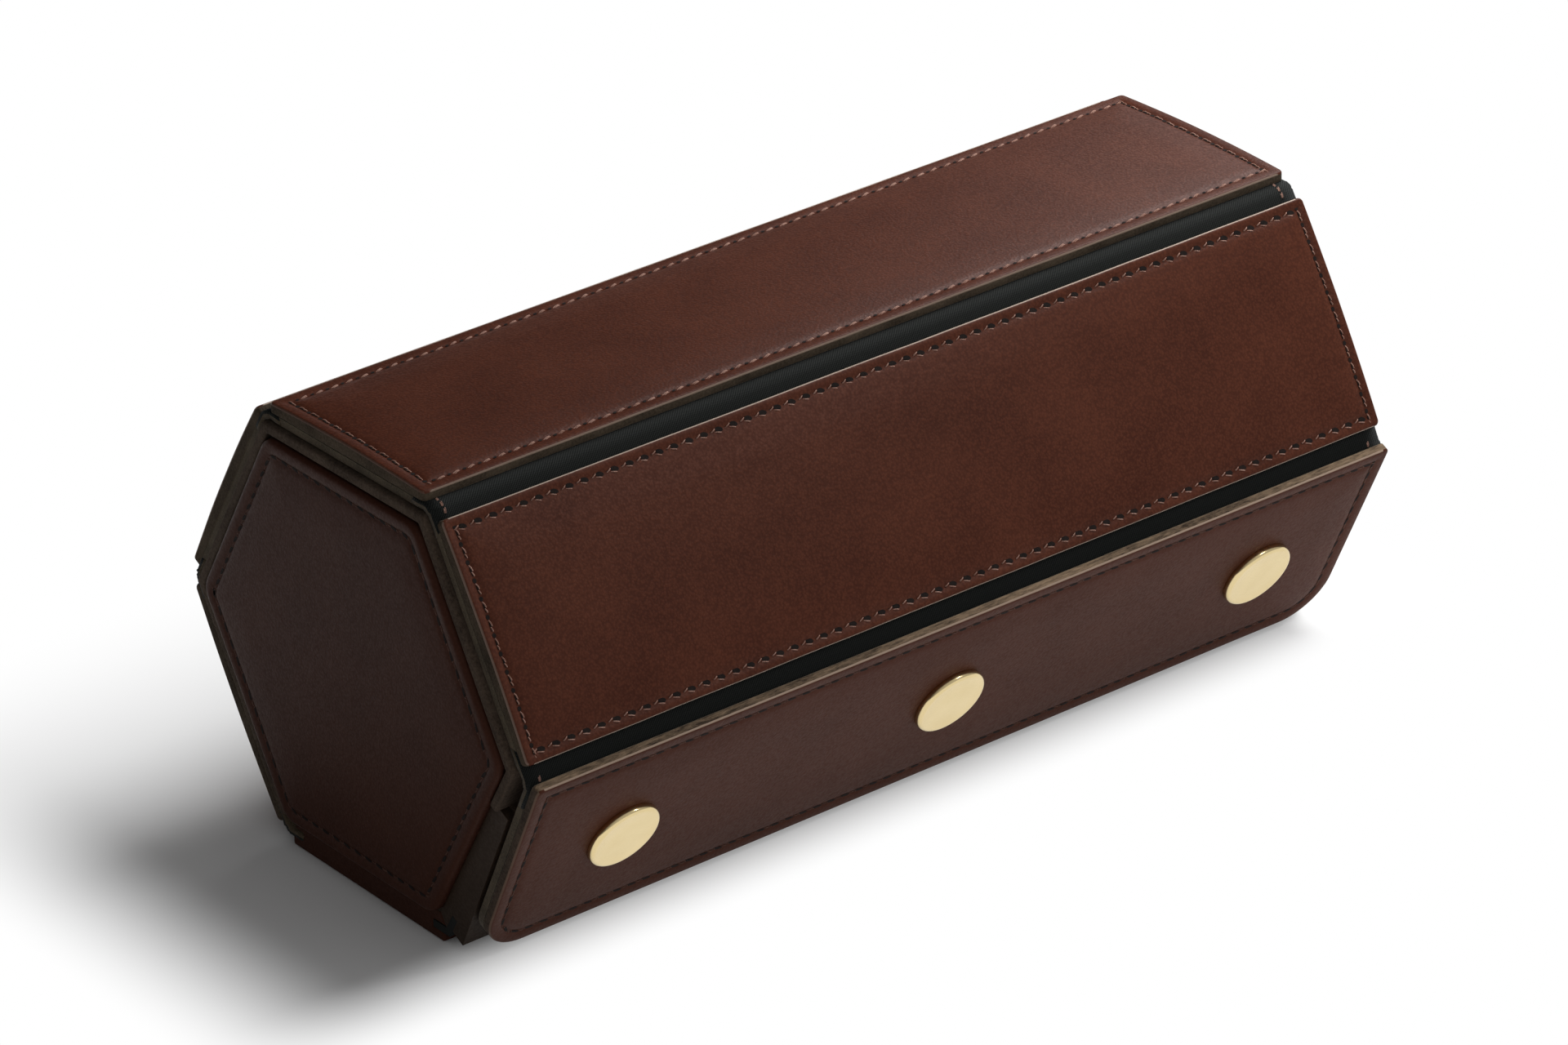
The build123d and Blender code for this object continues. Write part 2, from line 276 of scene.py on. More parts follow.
def leather(name, deep, light, core, painted_glint, pore, rough, gloss=0.08):
    """Finished leather. An attribute, 1 at a cut edge, bares its pale core; on panel ends, a painted highlight."""
    material, tree, shader = new_material(name, Specular_IOR_Level=gloss)
    grain = use_group(tree, grain_group, Vector=object_point(tree), Pore=pore)
    patina = remap(tree, grain.outputs["Tone"], 0.30, 0.70, 0.0, 1.0 - painted_glint)
    # Painted glints: the grain's pebble tops are coloured paler, as if they caught the light
    glint_dots = remap(tree, grain.outputs["Height"], 0.85, 1.40, 0.0, painted_glint)
    body = blend_colours(tree, maths(tree, "ADD", patina, glint_dots), deep, light)
    edge = add(tree, "ShaderNodeAttribute", attribute_name="core")
    # Along the long cut edges this is the leather's pale core; on a panel's ends it is a faint painted highlight
    core_and_highlight_mask = remap(tree, edge.outputs["Fac"], 0.96, 0.985, 0.0, 1.0)
    colour = blend_colours(tree, core_and_highlight_mask, body, core)
    roughness = remap(tree, grain.outputs["Height"], 0.7, 1.5, rough + 0.09, rough - 0.07)
    finish_with(tree, shader, colour, roughness, grain.outputs["Height"], grain_strength,
                grain_relief)
    return material


def raw_fibres(name, dark, pale, size, sheen, strength, drawn_out=1.0):
    """A surface of cut fibres, as on suede and cut leather, drawn out along the roll or not."""
    material, tree, shader = new_material(name, Specular_IOR_Level=0.2, Sheen_Weight=sheen)
    spot = add(tree, "ShaderNodeVectorMath", {0: object_point(tree), 1: (1 / drawn_out, 1.0, 1.0)},
               operation="MULTIPLY").outputs[0]
    fibres = use_group(tree, fibre_group, Vector=spot, Size=size)
    tone = remap(tree, fibres.outputs["Tone"], 0.36, 0.64, 0.0, 1.0)
    colour = blend_colours(tree, tone, dark, pale)
    roughness = remap(tree, tone, 0.0, 1.0, 0.95, 0.8)
    finish_with(tree, shader, colour, roughness, fibres.outputs["Height"], strength, fibre_relief)
    return material


def twill(name, dark, pale, yarn):
    """Woven cloth, which reads its weave from the strip's own map."""
    material, tree, shader = new_material(name, Specular_IOR_Level=0.1, Sheen_Weight=0.05)
    weave = use_group(tree, twill_group, Vector=add(tree, "ShaderNodeUVMap").outputs["UV"],
                      Yarn=yarn)
    colour = blend_colours(tree, weave.outputs["Tone"], dark, pale)
    roughness = remap(tree, weave.outputs["Tone"], 0.0, 1.0, 0.95, 0.7)
    finish_with(tree, shader, colour, roughness, weave.outputs["Height"], weave_strength,
                weave_relief)
    return material


def satin_metal(name, dark, pale, shine):
    """Metal with a faint film on it and a roughness that is nowhere quite the same."""
    material, tree, shader = new_material(name, Metallic=1.0)
    film = add(tree, "ShaderNodeTexNoise", {
        "Vector": object_point(tree), "Scale": 160.0, "Detail": 2.0})
    tree.links.new(blend_colours(tree, film.outputs["Fac"], dark, pale),
                   shader.inputs["Base Color"])
    brushed = add(tree, "ShaderNodeTexNoise", {
        "Vector": object_point(tree), "Scale": 1400.0, "Detail": 2.0})
    tree.links.new(remap(tree, brushed.outputs["Fac"], 0.3, 0.7, shine - 0.03, shine + 0.03),
                   shader.inputs["Roughness"])
    return material


panel_leather = leather("panel_leather", (0.051, 0.0132, 0.0064), (0.102, 0.0300, 0.0152),
                        (0.42, 0.33, 0.27), 0.65, 0.46 * mm, 0.40)
top_leather = leather("top_leather", (0.048, 0.0125, 0.0064), (0.096, 0.0285, 0.0150),
                      (0.21, 0.150, 0.115), 0.65, 0.46 * mm, 0.40)
flap_grain = leather("flap_leather", (0.062, 0.0205, 0.0118), (0.082, 0.0280, 0.0170),
                     (0.30, 0.22, 0.165), 0.35, 0.5 * mm, 0.44, gloss=0.05)
# The tray leather is darker than the leather's own colour: painted shade for the end faces, which turn away from
# the key lamp
tray_leather = leather("tray_leather", (0.039, 0.0135, 0.0080), (0.058, 0.0210, 0.0128),
                       (0.060, 0.036, 0.027), 0.5, 0.5 * mm, 0.46, gloss=0.05)
# The front wall's leather is its own grey-brown darkened to olive: painted shade for its place under the flap
wall_leather = leather("wall_leather", (0.028, 0.0175, 0.0115), (0.046, 0.0300, 0.0205),
                       (0.046, 0.030, 0.0205), 0.5, 0.5 * mm, 0.5)
raw_edge = raw_fibres("raw_edge", (0.022, 0.015, 0.009), (0.095, 0.068, 0.044), 0.5 * mm, 0.0, 0.5)
# The flap's cut edge has drawn-out fibre streaks; their pale colour is partly the edge's own tan and partly
# painted highlight
flap_edge_and_highlights = raw_fibres("flap_raw_edge", (0.022, 0.013, 0.007), (0.250, 0.170, 0.105),
                       0.6 * mm, 0.0, 0.9, drawn_out=5.0)
strip_edge = raw_fibres("strip_edge", (0.026, 0.017, 0.012), (0.095, 0.066, 0.046),
                        0.6 * mm, 0.0, 0.5)
suede = raw_fibres("suede", (0.042, 0.030, 0.017), (0.118, 0.088, 0.053), 0.45 * mm, 0.10, 0.6)
cushion_suede = raw_fibres("cushion_suede", (0.038, 0.029, 0.015), (0.095, 0.075, 0.042),
                           0.45 * mm, 0.10, 0.5)
black_twill = twill("black_twill", (0.0012, 0.0015, 0.0014), (0.0175, 0.0195, 0.0180), 0.55 * mm)
# The darker colour is the thread's own; the pale one is a painted highlight, as on waxed thread that catches the
# light
pale_thread = raw_fibres("pale_thread", (0.160, 0.075, 0.052), (0.400, 0.240, 0.190),
                         0.3 * mm, 0.0, 0.3)
dark_thread = raw_fibres("dark_thread", (0.040, 0.018, 0.013), (0.130, 0.070, 0.052),
                         0.3 * mm, 0.0, 0.3)
# Near-black colour of the flat discs laid over needle holes and slits: painted shade
needle_hole = raw_fibres("needle_hole", (0.004, 0.002, 0.0015), (0.012, 0.006, 0.004),
                         0.3 * mm, 0.0, 0.2)
brass = satin_metal("satin_brass", (0.70, 0.55, 0.28), (0.80, 0.65, 0.37), 0.20)
# The board is coloured almost black: painted shade for the dark gap where its edge shows between end face and
# collar
board_paper = raw_fibres("board_paper", (0.018, 0.012, 0.008), (0.042, 0.030, 0.020),
                         0.6 * mm, 0.0, 0.3)
foam = raw_fibres("foam", (0.42, 0.41, 0.38), (0.55, 0.54, 0.50), 0.8 * mm, 0.0, 0.4)
print("finishes:", len(bpy.data.materials))

# %% [markdown]
# Thick leather never looks like a slab. Its cut edge is a little rounded, the seam pulls a groove
# into it, and inside the seam it swells up again. A sheet is therefore a grid of points that stand
# close together near the edge and far apart in the middle, and each point's height follows from
# its distance to the nearest edge. Near a round corner the grid is bent, so that its lines run
# round the corner as the real edge and the real seam do.

# %% Sizes of the sewn leather
seam_inset = {"rear_lower": 2.6 * mm, "rear_upper": 2.6 * mm, "top": 2.7 * mm, "front": 2.1 * mm,
              "flap": 2.9 * mm, "end": 3.0 * mm}
# The front panel's upper edge is cut shorter than the others, so more twill shows there
cut_short = {"front": 1.1 * mm}
stitch_pitch = 3.25 * mm
cut_round = 0.45 * mm
groove_half = 0.75 * mm
groove_depth = 0.28 * mm
swell_width = 7.5 * mm
swell_height = 0.30 * mm
waviness = 0.10 * mm
wave_size = 32 * mm
end_wave_size = 24 * mm
wave_fade = 6 * mm
edge_wander = 0.07 * mm
edge_wander_size = 14 * mm
bow_height = 0.65 * mm
core_and_highlight_width = 1.6 * mm
# On a panel's ends the pale colour is a faint painted highlight, over a wider edge
end_highlight = 0.97


def depth_steps(inset, rounding=cut_round):
    """Distances from the edge at which a sheet has a row of points."""
    curve = [rounding * (1 - cos(t)) for t in np.linspace(0, pi / 2, 5)]
    margin = np.linspace(rounding, inset - groove_half, 4)[1:]
    groove = np.linspace(inset - groove_half, inset + groove_half, 7)[1:]
    swell = inset + groove_half + swell_width * np.linspace(0, 1, 7)[1:] ** 1.4
    return [*curve, *margin, *groove, *swell]


def steps_across(width, inset, spacing=3.0 * mm):
    """Places of the grid's lines across a sheet: close together at both edges."""
    near = [d for d in depth_steps(inset) if d < width / 2 - spacing / 2]
    count = max(2, round((width - 2 * near[-1]) / spacing) + 1)
    middle = np.linspace(near[-1], width - near[-1], count)[1:-1]
    return [*near, *middle, *(width - d for d in reversed(near))]


def smooth(t):
    """Rise from 0 to 1 while t does, and stay level before and after."""
    t = min(max(t, 0.0), 1.0)
    return t * t * (3 - 2 * t)


def sewn_height(depth, inset, rounding=cut_round):
    """Height of the surface over its flat level at a distance from the edge."""
    rounded = 0.0
    if depth < rounding:
        rounded = sqrt(rounding ** 2 - (rounding - depth) ** 2) - rounding
    groove = groove_depth * np.exp(-((depth - inset) / groove_half) ** 2)
    swell = swell_height * smooth((depth - inset) / swell_width)
    return rounded - groove + swell


def bow(share):
    """Height that a panel's slight bow adds at a share of the way across it."""
    return bow_height * (1 - (2 * share - 1) ** 2)


def round_corner(a, b, radius):
    """Move a grid point that lies a and b from two edges, so that the corner becomes round."""
    if a >= radius or b >= radius:
        return a, b
    reach = radius - min(a, b)
    angle = pi / 4 * (radius - max(a, b)) / reach
    near, far = radius - reach * cos(angle), radius - reach * sin(angle)
    return (near, far) if a <= b else (far, near)


def wander(point, size, seed):
    """Slow random offset, the same in each run."""
    return noise.noise(Vector(point) / size + Vector((seed, 2.3 * seed, 0)))


# %% Helpers that make a finished piece
def new_object(name, data):
    """Put new data into the scene, as an object at the origin."""
    made = bpy.data.objects.new(name, data)
    bpy.context.scene.collection.objects.link(made)
    return made


def new_piece(name, points, faces, materials, face_materials=None, core=None, uv=None):
    """Make a mesh piece at the origin, shaded smooth, with its materials and attributes."""
    mesh = bpy.data.meshes.new(name)
    mesh.from_pydata([tuple(p) for p in points], [], faces)
    for material in materials:
        mesh.materials.append(material)
    if face_materials is not None:
        mesh.polygons.foreach_set("material_index", face_materials)
    if core is not None:
        mesh.attributes.new("core", "FLOAT", "POINT").data.foreach_set("value", core)
    if uv is not None:
        layer = mesh.uv_layers.new(name="UVMap")
        for loop in mesh.loops:
            layer.data[loop.index].uv = uv[loop.vertex_index]
    mesh.shade_smooth()
    mesh.validate()
    return new_object(name, mesh)


def face_outwards(piece):
    """Drop the points that no face uses and turn all faces of a closed piece outwards."""
    bm = bmesh.new()
    bm.from_mesh(piece.data)
    loose = [v for v in bm.verts if not v.link_faces]
    bmesh.ops.delete(bm, geom=loose, context="VERTS")
    bmesh.ops.recalc_face_normals(bm, faces=bm.faces)
    bm.to_mesh(piece.data)
    bm.free()
    return piece


# %% Sheets of leather on the panels and the flap
def leather_sheet(side, node, lower_radius, upper_radius, finish, upper_cut, other_cuts, seed):
    """Sewn sheet that stands for a flat CAD leather, with its cut edges and its flesh side."""
    angle, inset = side_angle[side], seam_inset[side]
    low, high = extent(node, angle)
    high.y -= cut_short.get(side, 0.0)
    place = side_matrix(angle)
    length, width = high.x - low.x, high.y - low.y
    columns, rows = steps_across(length, inset), steps_across(width, inset)
    upper, under, core = [], [], []
    for u in columns:
        for v in rows:
            a, b = min(u, length - u), min(v, width - v)
            radius = lower_radius if v < width / 2 else upper_radius
            depth = min(a, b)
            # Pale core line along the long edges, and a faint painted highlight on the ends where the rounded edge
            # catches the light
            core.append(max((1 - smooth(b / core_and_highlight_width)) * smooth(a / core_and_highlight_width),
                            (1 - smooth(a / core_and_highlight_width / 3)) * end_highlight))
            a, b = round_corner(a, b, radius)
            x = low.x + (a if u < length / 2 else length - a)
            y = low.y + (b if v < width / 2 else width - b)
            shift = edge_wander * wander((x, y, 0), edge_wander_size, seed)
            wave = waviness * wander((x, y, 0), wave_size, seed + 7) * smooth(depth / wave_fade)
            height = sewn_height(depth, inset)
            rise = 0.0 if side == "flap" else bow((y - low.y) / width)
            spot = Vector((x + shift, y + shift, high.z + height + rise + wave))
            upper.append(place @ spot)
            lifted = 0.5 * min(0.0, height if depth < cut_round else 0.0)
            under.append(place @ Vector((spot.x, spot.y, low.z - lifted)))
    count_v, total = len(rows), len(upper)
    faces, kinds = [], []
    for i in range(len(columns) - 1):
        for j in range(count_v - 1):
            corner = i * count_v + j
            quad = (corner, corner + count_v, corner + count_v + 1, corner + 1)
            faces.append(quad)
            kinds.append(0)
            faces.append(tuple(total + k for k in reversed(quad)))
            kinds.append(2)
    last = (len(columns) - 1) * count_v
    rim = [*range(0, last, count_v), *range(last, total - 1)]
    rim += [*range(total - 1, count_v - 1, -count_v), *range(count_v - 1, 0, -1)]
    for here, after in zip(rim, rim[1:] + rim[:1]):
        faces.append((here, total + here, total + after, after))
        on_upper_edge = here % count_v == after % count_v == count_v - 1
        kinds.append(1 if on_upper_edge else 3)
    piece = new_piece(f"{side}_panel", upper + under, faces,
                      [finish, upper_cut, suede, other_cuts], kinds, core * 2)
    face_outwards(piece)
    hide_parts(node)
    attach(piece, side)
    print(f"{side} sheet:", len(piece.data.polygons), "faces")


panel_corner = 1.0 * mm
flap_corner = 9.5 * mm
for seed, side in enumerate(("rear_lower", "rear_upper", "top", "front")):
    leather_sheet(side, f"{side}_leather", panel_corner, panel_corner,
                  top_leather if side == "top" else panel_leather, raw_edge, raw_edge, seed)
leather_sheet("flap", "flap_leather", flap_corner, panel_corner, flap_grain, flap_edge_and_highlights,
              strip_edge, 9)

# %% [markdown]
# The twill strips bend when the roll is opened, so each one is a fine grid across its fold. Its
# two long edges are tucked in between leather and lining, and only the middle shows. The twill's
# own map is in metres along and across the strip, so the weave follows the cloth round the fold.

# %% Twill hinges
twill_ply = 0.6 * mm
fold_radius = 2.6 * mm
fray_reach = 0.3 * mm
strip_columns = 68
# How far from the fold's corner the two points kept for each hinge lie
bend_reach = 1.6 * mm


def crossing(angle_a, out_a, angle_b, out_b):
    """Point in the YZ plane where the planes of two sides meet."""
    normals = np.array([side_matrix(a).to_3x3().col[2][1:] for a in (angle_a, angle_b)])
    y, z = np.linalg.solve(normals, np.array([out_a, out_b]))
    return Vector((0, y, z + axis_height))


def folded_path(first, corner, last, radius, count=9):
    """Points from first to last that turn round the corner on an arc."""
    before, after = (first - corner).normalized(), (last - corner).normalized()
    half = before.angle(after) / 2
    reach = radius / tan(half)
    middle = corner + (before + after).normalized() * (radius / sin(half))
    start, end = corner + before * reach, corner + after * reach
    turn = (start - middle).angle(end - middle)
    arc = [((start - middle) * sin((1 - t) * turn) + (end - middle) * sin(t * turn)) / sin(turn)
           + middle for t in np.linspace(0, 1, count)]
    return [first, first.lerp(start, 0.5), *arc, last.lerp(end, 0.5), last]


hinge_sides = {"rear_bottom": ("base", "rear_lower", "root", "rear_lower"),
               "rear_middle": ("rear_lower", "rear_upper", "rear_lower", "rear_upper"),
               "rear_top": ("rear_upper", "top", "rear_upper", "top"),
               "front_top": ("top", "front", "top", "front"),
               "flap": ("front", "flap", "front", "flap")}
lining_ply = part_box("top_lining")[1].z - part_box("top_lining")[0].z
hinge_gaps = {}


def hinge_points(name):
    """Where a hinge's strip starts, folds and ends, in the YZ plane."""
    side_a, side_b = hinge_sides[name][:2]
    angle_a, angle_b = side_angle[side_a], side_angle[side_b]
    node = f"hinge_fabric_{name}"
    far_a, far_b = extent(node, angle_a), extent(node, angle_b)
    out_a, out_b = far_a[1].z, far_b[1].z
    first = side_matrix(angle_a) @ Vector((0, far_a[1].y, out_a))
    last = side_matrix(angle_b) @ Vector((0, far_b[0].y, out_b))
    return first, crossing(angle_a, out_a, angle_b, out_b), last


for seed, name in enumerate(hinge_sides):
    first, corner, last = hinge_points(name)
    low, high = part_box(f"hinge_fabric_{name}")
    outer = folded_path(first, corner, last, fold_radius)
    inward = (Vector((0, 0, axis_height)) - corner).normalized()
    steps = [0.0]
    for p, q in zip(outer, outer[1:]):
        steps.append(steps[-1] + (q - p).length)
    columns = np.linspace(low.x, high.x, strip_columns)
    points, uv = [], []
    for ply, depth in enumerate((0.0, twill_ply, lining_ply)):
        for i, x in enumerate(columns):
            for j, p in enumerate(outer):
                end = 1 if i in (0, len(columns) - 1) else 0
                fray = fray_reach * (0.4 + wander((i, j, ply), 1.7, seed)) * end
                spot = p + inward * depth
                points.append(Vector((x + fray * (1 if i else -1), spot.y, spot.z)))
                uv.append((x, steps[j]))
    across, layer = len(outer), len(columns) * len(outer)
    faces, kinds = [], []
    for i in range(len(columns) - 1):
        for j in range(across - 1):
            k = i * across + j
            quad = (k, k + 1, k + across + 1, k + across)
            faces += [quad, tuple(2 * layer + q for q in reversed(quad))]
            kinds += [0, 1]
    last_row = (len(columns) - 1) * across
    rim = [*range(0, across - 1), *range(across - 1, layer - 1, across)]
    rim += [*range(layer - 1, last_row, -1), *range(last_row, 0, -across)]
    for here, after in zip(rim, rim[1:] + rim[:1]):
        for ply, kind in ((0, 0), (layer, 1)):
            faces.append((ply + here, ply + layer + here, ply + layer + after, ply + after))
            kinds.append(kind)
    strip = new_piece(f"twill_hinge_{name}", points, faces, [black_twill, suede], kinds, uv=uv)
    face_outwards(strip)
    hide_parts(f"hinge_fabric_{name}")
    start = corner + (first - corner).normalized() * bend_reach
    end = corner + (last - corner).normalized() * bend_reach
    hinge_gaps[name] = (start, end)
    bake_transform(strip)
print("hinges:", len(hinge_gaps))

# %% [markdown]
# The two ends are six-sided leather faces on a board. Rings of points, each one a smaller hexagon
# with rounder or sharper corners, carry the same seam and swelling as the panels. A ring is laid
# out by direction from the middle, so the rings of one face always match.

# %% End faces
end_corner = 4.5 * mm
# The leather is turned in over its board, so its edge is rounder than a cut one and nearly
# fills the gap up to the collar
end_rounding = 1.0 * mm
end_grown = 0.35 * mm


def ring_radius(apothem, corner, direction):
    """Distance from the middle to a rounded hexagon's outline in a direction, in radians."""
    off = (direction + pi / 6) % (pi / 3) - pi / 6
    centre = (apothem - corner) / cos(pi / 6)
    tangent = np.arctan2(corner * sin(pi / 6), centre + corner * cos(pi / 6))
    if abs(off) < tangent:
        return centre * cos(off) + sqrt(corner ** 2 - (centre * sin(off)) ** 2)
    return apothem / cos(pi / 6 - abs(off))


def end_face(side, sign, seed):
    """Leather face of one end, with its seam and its turned edge."""
    node = f"end_face_{side}"
    low, high = extent(node, 0)
    apothem = high.z + end_grown
    outer_x, inner_x = (high.x, low.x) if sign > 0 else (low.x, high.x)
    fans = [k * pi / 3 + t for k in range(6) for t in
            [*np.linspace(-0.10, 0.10, 9), *np.linspace(0.17, pi / 3 - 0.17, 10)]]
    inset = seam_inset["end"]
    depths = depth_steps(inset, end_rounding) + list(np.linspace(16 * mm, apothem - 3 * mm, 6))
    points = []
    for depth in depths:
        for direction in fans:
            r = ring_radius(apothem - depth, max(end_corner - depth, 0.4 * mm), direction)
            y, z = r * sin(direction + pi / 2), axis_height + r * cos(direction + pi / 2)
            wave = waviness * wander((y, z, 0), end_wave_size, seed) * smooth(depth / wave_fade)
            height = sewn_height(depth, inset, end_rounding) + wave
            points.append((outer_x + sign * height, y, z))
    ring, rings = len(fans), len(depths)
    faces = [(r * ring + k, r * ring + (k + 1) % ring, (r + 1) * ring + (k + 1) % ring,
              (r + 1) * ring + k) for r in range(rings - 1) for k in range(ring)]
    faces.append(tuple((rings - 1) * ring + k for k in range(ring)))
    back = len(points)
    points += [(inner_x, y, z) for _, y, z in points[:ring]]
    faces += [(k, back + k, back + (k + 1) % ring, (k + 1) % ring) for k in range(ring)]
    faces.append(tuple(back + k for k in reversed(range(ring))))
    piece = face_outwards(new_piece(f"end_cover_{side}", points, faces, [tray_leather]))
    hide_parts(node)
    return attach(piece, "root")


for side, sign, seed in (("left", -1, 21), ("right", 1, 22)):
    print("end", side, len(end_face(side, sign, seed).data.polygons), "faces")

# %% [markdown]
# The foam in the front wall would lie bare along the wall's top. A strip of leather is bound over
# it, a little wider than the wall and rounded at both sides.

# %% Binding of the front wall
binding_lap = 0.12 * mm
binding_down = 0.9 * mm
binding_rise = 0.7 * mm
binding_columns = 90
binding_shake = 0.05 * mm
binding_shake_size = 9 * mm
binding_seed = 41
# The wall's points that lie this close to its highest one belong to its top
wall_top_reach = 0.3 * mm


def wall_binding():
    """Strip of leather over the top of the front wall, from its outer leather to its lining."""
    angle = side_angle["flap"]
    place = side_matrix(angle)
    back = place.inverted()
    top_y = extent("front_wall_leather", angle)[1].y
    spots = [back @ v.co for node in ("front_wall_leather", "front_wall_lining")
             for v in frame["nodes"][node].data.vertices]
    depths = [p.z for p in spots if p.y > top_y - wall_top_reach]
    inner, outer = min(depths) - binding_lap, max(depths) + binding_lap
    bottom, top = top_y - binding_down, top_y + binding_rise
    radius = binding_rise
    profile = [(bottom, inner), (top - radius, inner)]
    profile += [(top - radius * (1 - sin(t)), inner + radius * (1 - cos(t)))
                for t in np.linspace(0, pi / 2, 6)[1:]]
    profile += [(top - radius * (1 - cos(t)), outer - radius * (1 - sin(t)))
                for t in np.linspace(0, pi / 2, 6)]
    profile.append((bottom, outer))
    low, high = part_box("front_wall_padding")
    points = []
    for x in np.linspace(low.x, high.x, binding_columns):
        for y, z in profile:
            shake = binding_shake * wander((x, y, z), binding_shake_size, binding_seed)
            points.append(place @ Vector((x, y + shake, z + shake)))
    ring, count = len(profile), binding_columns
    faces = [(i * ring + k, i * ring + (k + 1) % ring, (i + 1) * ring + (k + 1) % ring,
              (i + 1) * ring + k) for i in range(count - 1) for k in range(ring)]
    faces += [tuple(range(ring)), tuple((count - 1) * ring + k for k in reversed(range(ring)))]
    piece = face_outwards(new_piece("front_wall_binding", points, faces, [wall_leather]))
    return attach(piece, "root")


print("binding:", len(wall_binding().data.polygons), "faces")

# %% [markdown]
# The stiff parts of the tray already have the right shape, and only their corners are too sharp.
# A copy of the CAD piece is merged into clean faces, and its hard edges are rounded.

# %% Softened copies of the stiff pieces
merge_reach = 0.001 * mm
flat_turn = radians(1)
hard_turn = radians(25)


def softened(node, name, radius, materials, body="root"):
    """Piece that stands for a CAD node, with the same shape and rounded edges."""
    mesh = frame["nodes"][node].data.copy()
    mesh.materials.clear()
    bm = bmesh.new()
    bm.from_mesh(mesh)
    bmesh.ops.remove_doubles(bm, verts=bm.verts, dist=merge_reach)
    bmesh.ops.dissolve_limit(bm, angle_limit=flat_turn, verts=bm.verts, edges=bm.edges)
    bmesh.ops.recalc_face_normals(bm, faces=bm.faces)
    hard = [e for e in bm.edges if e.is_manifold and e.calc_face_angle(0) > hard_turn]
    bmesh.ops.bevel(bm, geom=hard, offset=radius, segments=3, profile=0.5, affect="EDGES",
                    clamp_overlap=True)
    broad = (4 * radius) ** 2
    for face in bm.faces:
        face.smooth = face.calc_area() < broad
    bmesh.ops.triangulate(bm, faces=[f for f in bm.faces if len(f.verts) > 4])
    bm.to_mesh(mesh)
    bm.free()
    for material in materials:
        mesh.materials.append(material)
    piece = new_object(name, mesh)
    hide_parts(node)
    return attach(piece, body)


softened("base_leather", "base_cover", 0.5 * mm, [tray_leather])
softened("front_wall_leather", "front_wall_cover", 0.5 * mm, [wall_leather])
for side in ("left", "right"):
    softened(f"end_collar_{side}", f"end_strip_{side}", 0.45 * mm, [strip_edge])
    softened(f"divider_suede_{side}", f"divider_cover_{side}", 0.3 * mm, [suede])


# %% Finishes for the CAD pieces that stay as they are
slot_of = {row["node"]: row["material_slot"] for row in frame["record"]["subparts"]}
finish_of = {"suede": suede, "cushion_suede": cushion_suede, "hinge_fabric": black_twill,
             "board": board_paper, "padding": foam, "brass": brass, "tray_leather": tray_leather,
             "panel_leather": panel_leather}
for node in frame["nodes"]:
    materials = frame["nodes"][node].data.materials
    materials.clear()
    materials.append(finish_of[slot_of[node]])

# %% [markdown]
# Snaps are turned metal parts, so each one is a profile spun round its axis. The cap's face is a
# little dished and its rim is rolled, which gives the bright line round it.

# %% Snap caps
def turned(name, place, profile, material, segments=72):
    """Spin a profile of (radius, height) round the axis of a place. It starts and ends on it."""
    points = [place @ Vector((0, 0, profile[0][1]))]
    faces = []
    for radius, height in profile[1:-1]:
        for k in range(segments):
            t = 2 * pi * k / segments
            points.append(place @ Vector((radius * cos(t), radius * sin(t), height)))
    points.append(place @ Vector((0, 0, profile[-1][1])))
    for k in range(segments):
        after = (k + 1) % segments
        faces.append((0, 1 + k, 1 + after))
        for r in range(len(profile) - 3):
            here, there = 1 + r * segments, 1 + (r + 1) * segments
            faces.append((here + k, there + k, there + after, here + after))
        outer = 1 + (len(profile) - 3) * segments
        faces.append((outer + k, len(points) - 1, outer + after))
    return face_outwards(new_piece(name, points, faces, [material]))


def snap_place(node):
    """Axes of a snap piece, with z out of the flap and its origin on the flap's surface."""
    low, high = extent(node, side_angle["flap"])
    surface = extent("flap_leather", side_angle["flap"])[1].z
    middle = (low + high) / 2
    return side_matrix(side_angle["flap"]) @ Matrix.Translation((middle.x, middle.y, surface))


low, high = extent("snap_cap_centre", side_angle["flap"])
cap_radius = (high.x - low.x) / 2
cap_height = high.z - extent("flap_leather", side_angle["flap"])[1].z
post_depth = cap_height - (high.z - low.z)
rim_roll = 0.8 * mm
cap_dish = 0.08 * mm
post_radius = 1.5 * mm
rolled = [(cap_radius - rim_roll * (1 - sin(t)), cap_height - rim_roll * (1 - cos(t)))
          for t in np.linspace(0.0, pi / 2, 7)]
cap_profile = [(0, cap_height - cap_dish), (cap_radius * 0.5, cap_height - cap_dish),
               (cap_radius - 1.7 * rim_roll, cap_height - cap_dish * 0.9), *rolled,
               (cap_radius, 0.25 * mm), (cap_radius - 0.2 * mm, 0.04 * mm),
               (cap_radius - 0.6 * mm, 0), (post_radius, 0), (post_radius, post_depth),
               (0, post_depth)]
for side in ("left", "centre", "right"):
    cap = turned(f"brass_cap_{side}", snap_place(f"snap_cap_{side}"), cap_profile, brass)
    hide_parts(f"snap_cap_{side}")
    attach(cap, "flap")
print("snap cap of", round(2 * cap_radius / mm, 1), "mm")

# %% [markdown]
# A stitch is the same small thing hundreds of times over, which is what Geometry Nodes are for.
# The tree walks along each seam in steps of one stitch and lays down dark discs of painted shade
# for a needle's hole and for the slit that the thread has pressed into the leather, and two strands
# of thread. Where the strands start and end is an input, so one tree makes every seam of the roll.
# Each seam point carries the surface's direction as an attribute. The tree ends in real faces, because the
# export drops instances.

# %% One stitch
# The dark discs of painted shade for the hole and the slit lie just over the leather, the hole higher where both
# meet
hole_level = 0.09 * mm
slit_level = 0.06 * mm


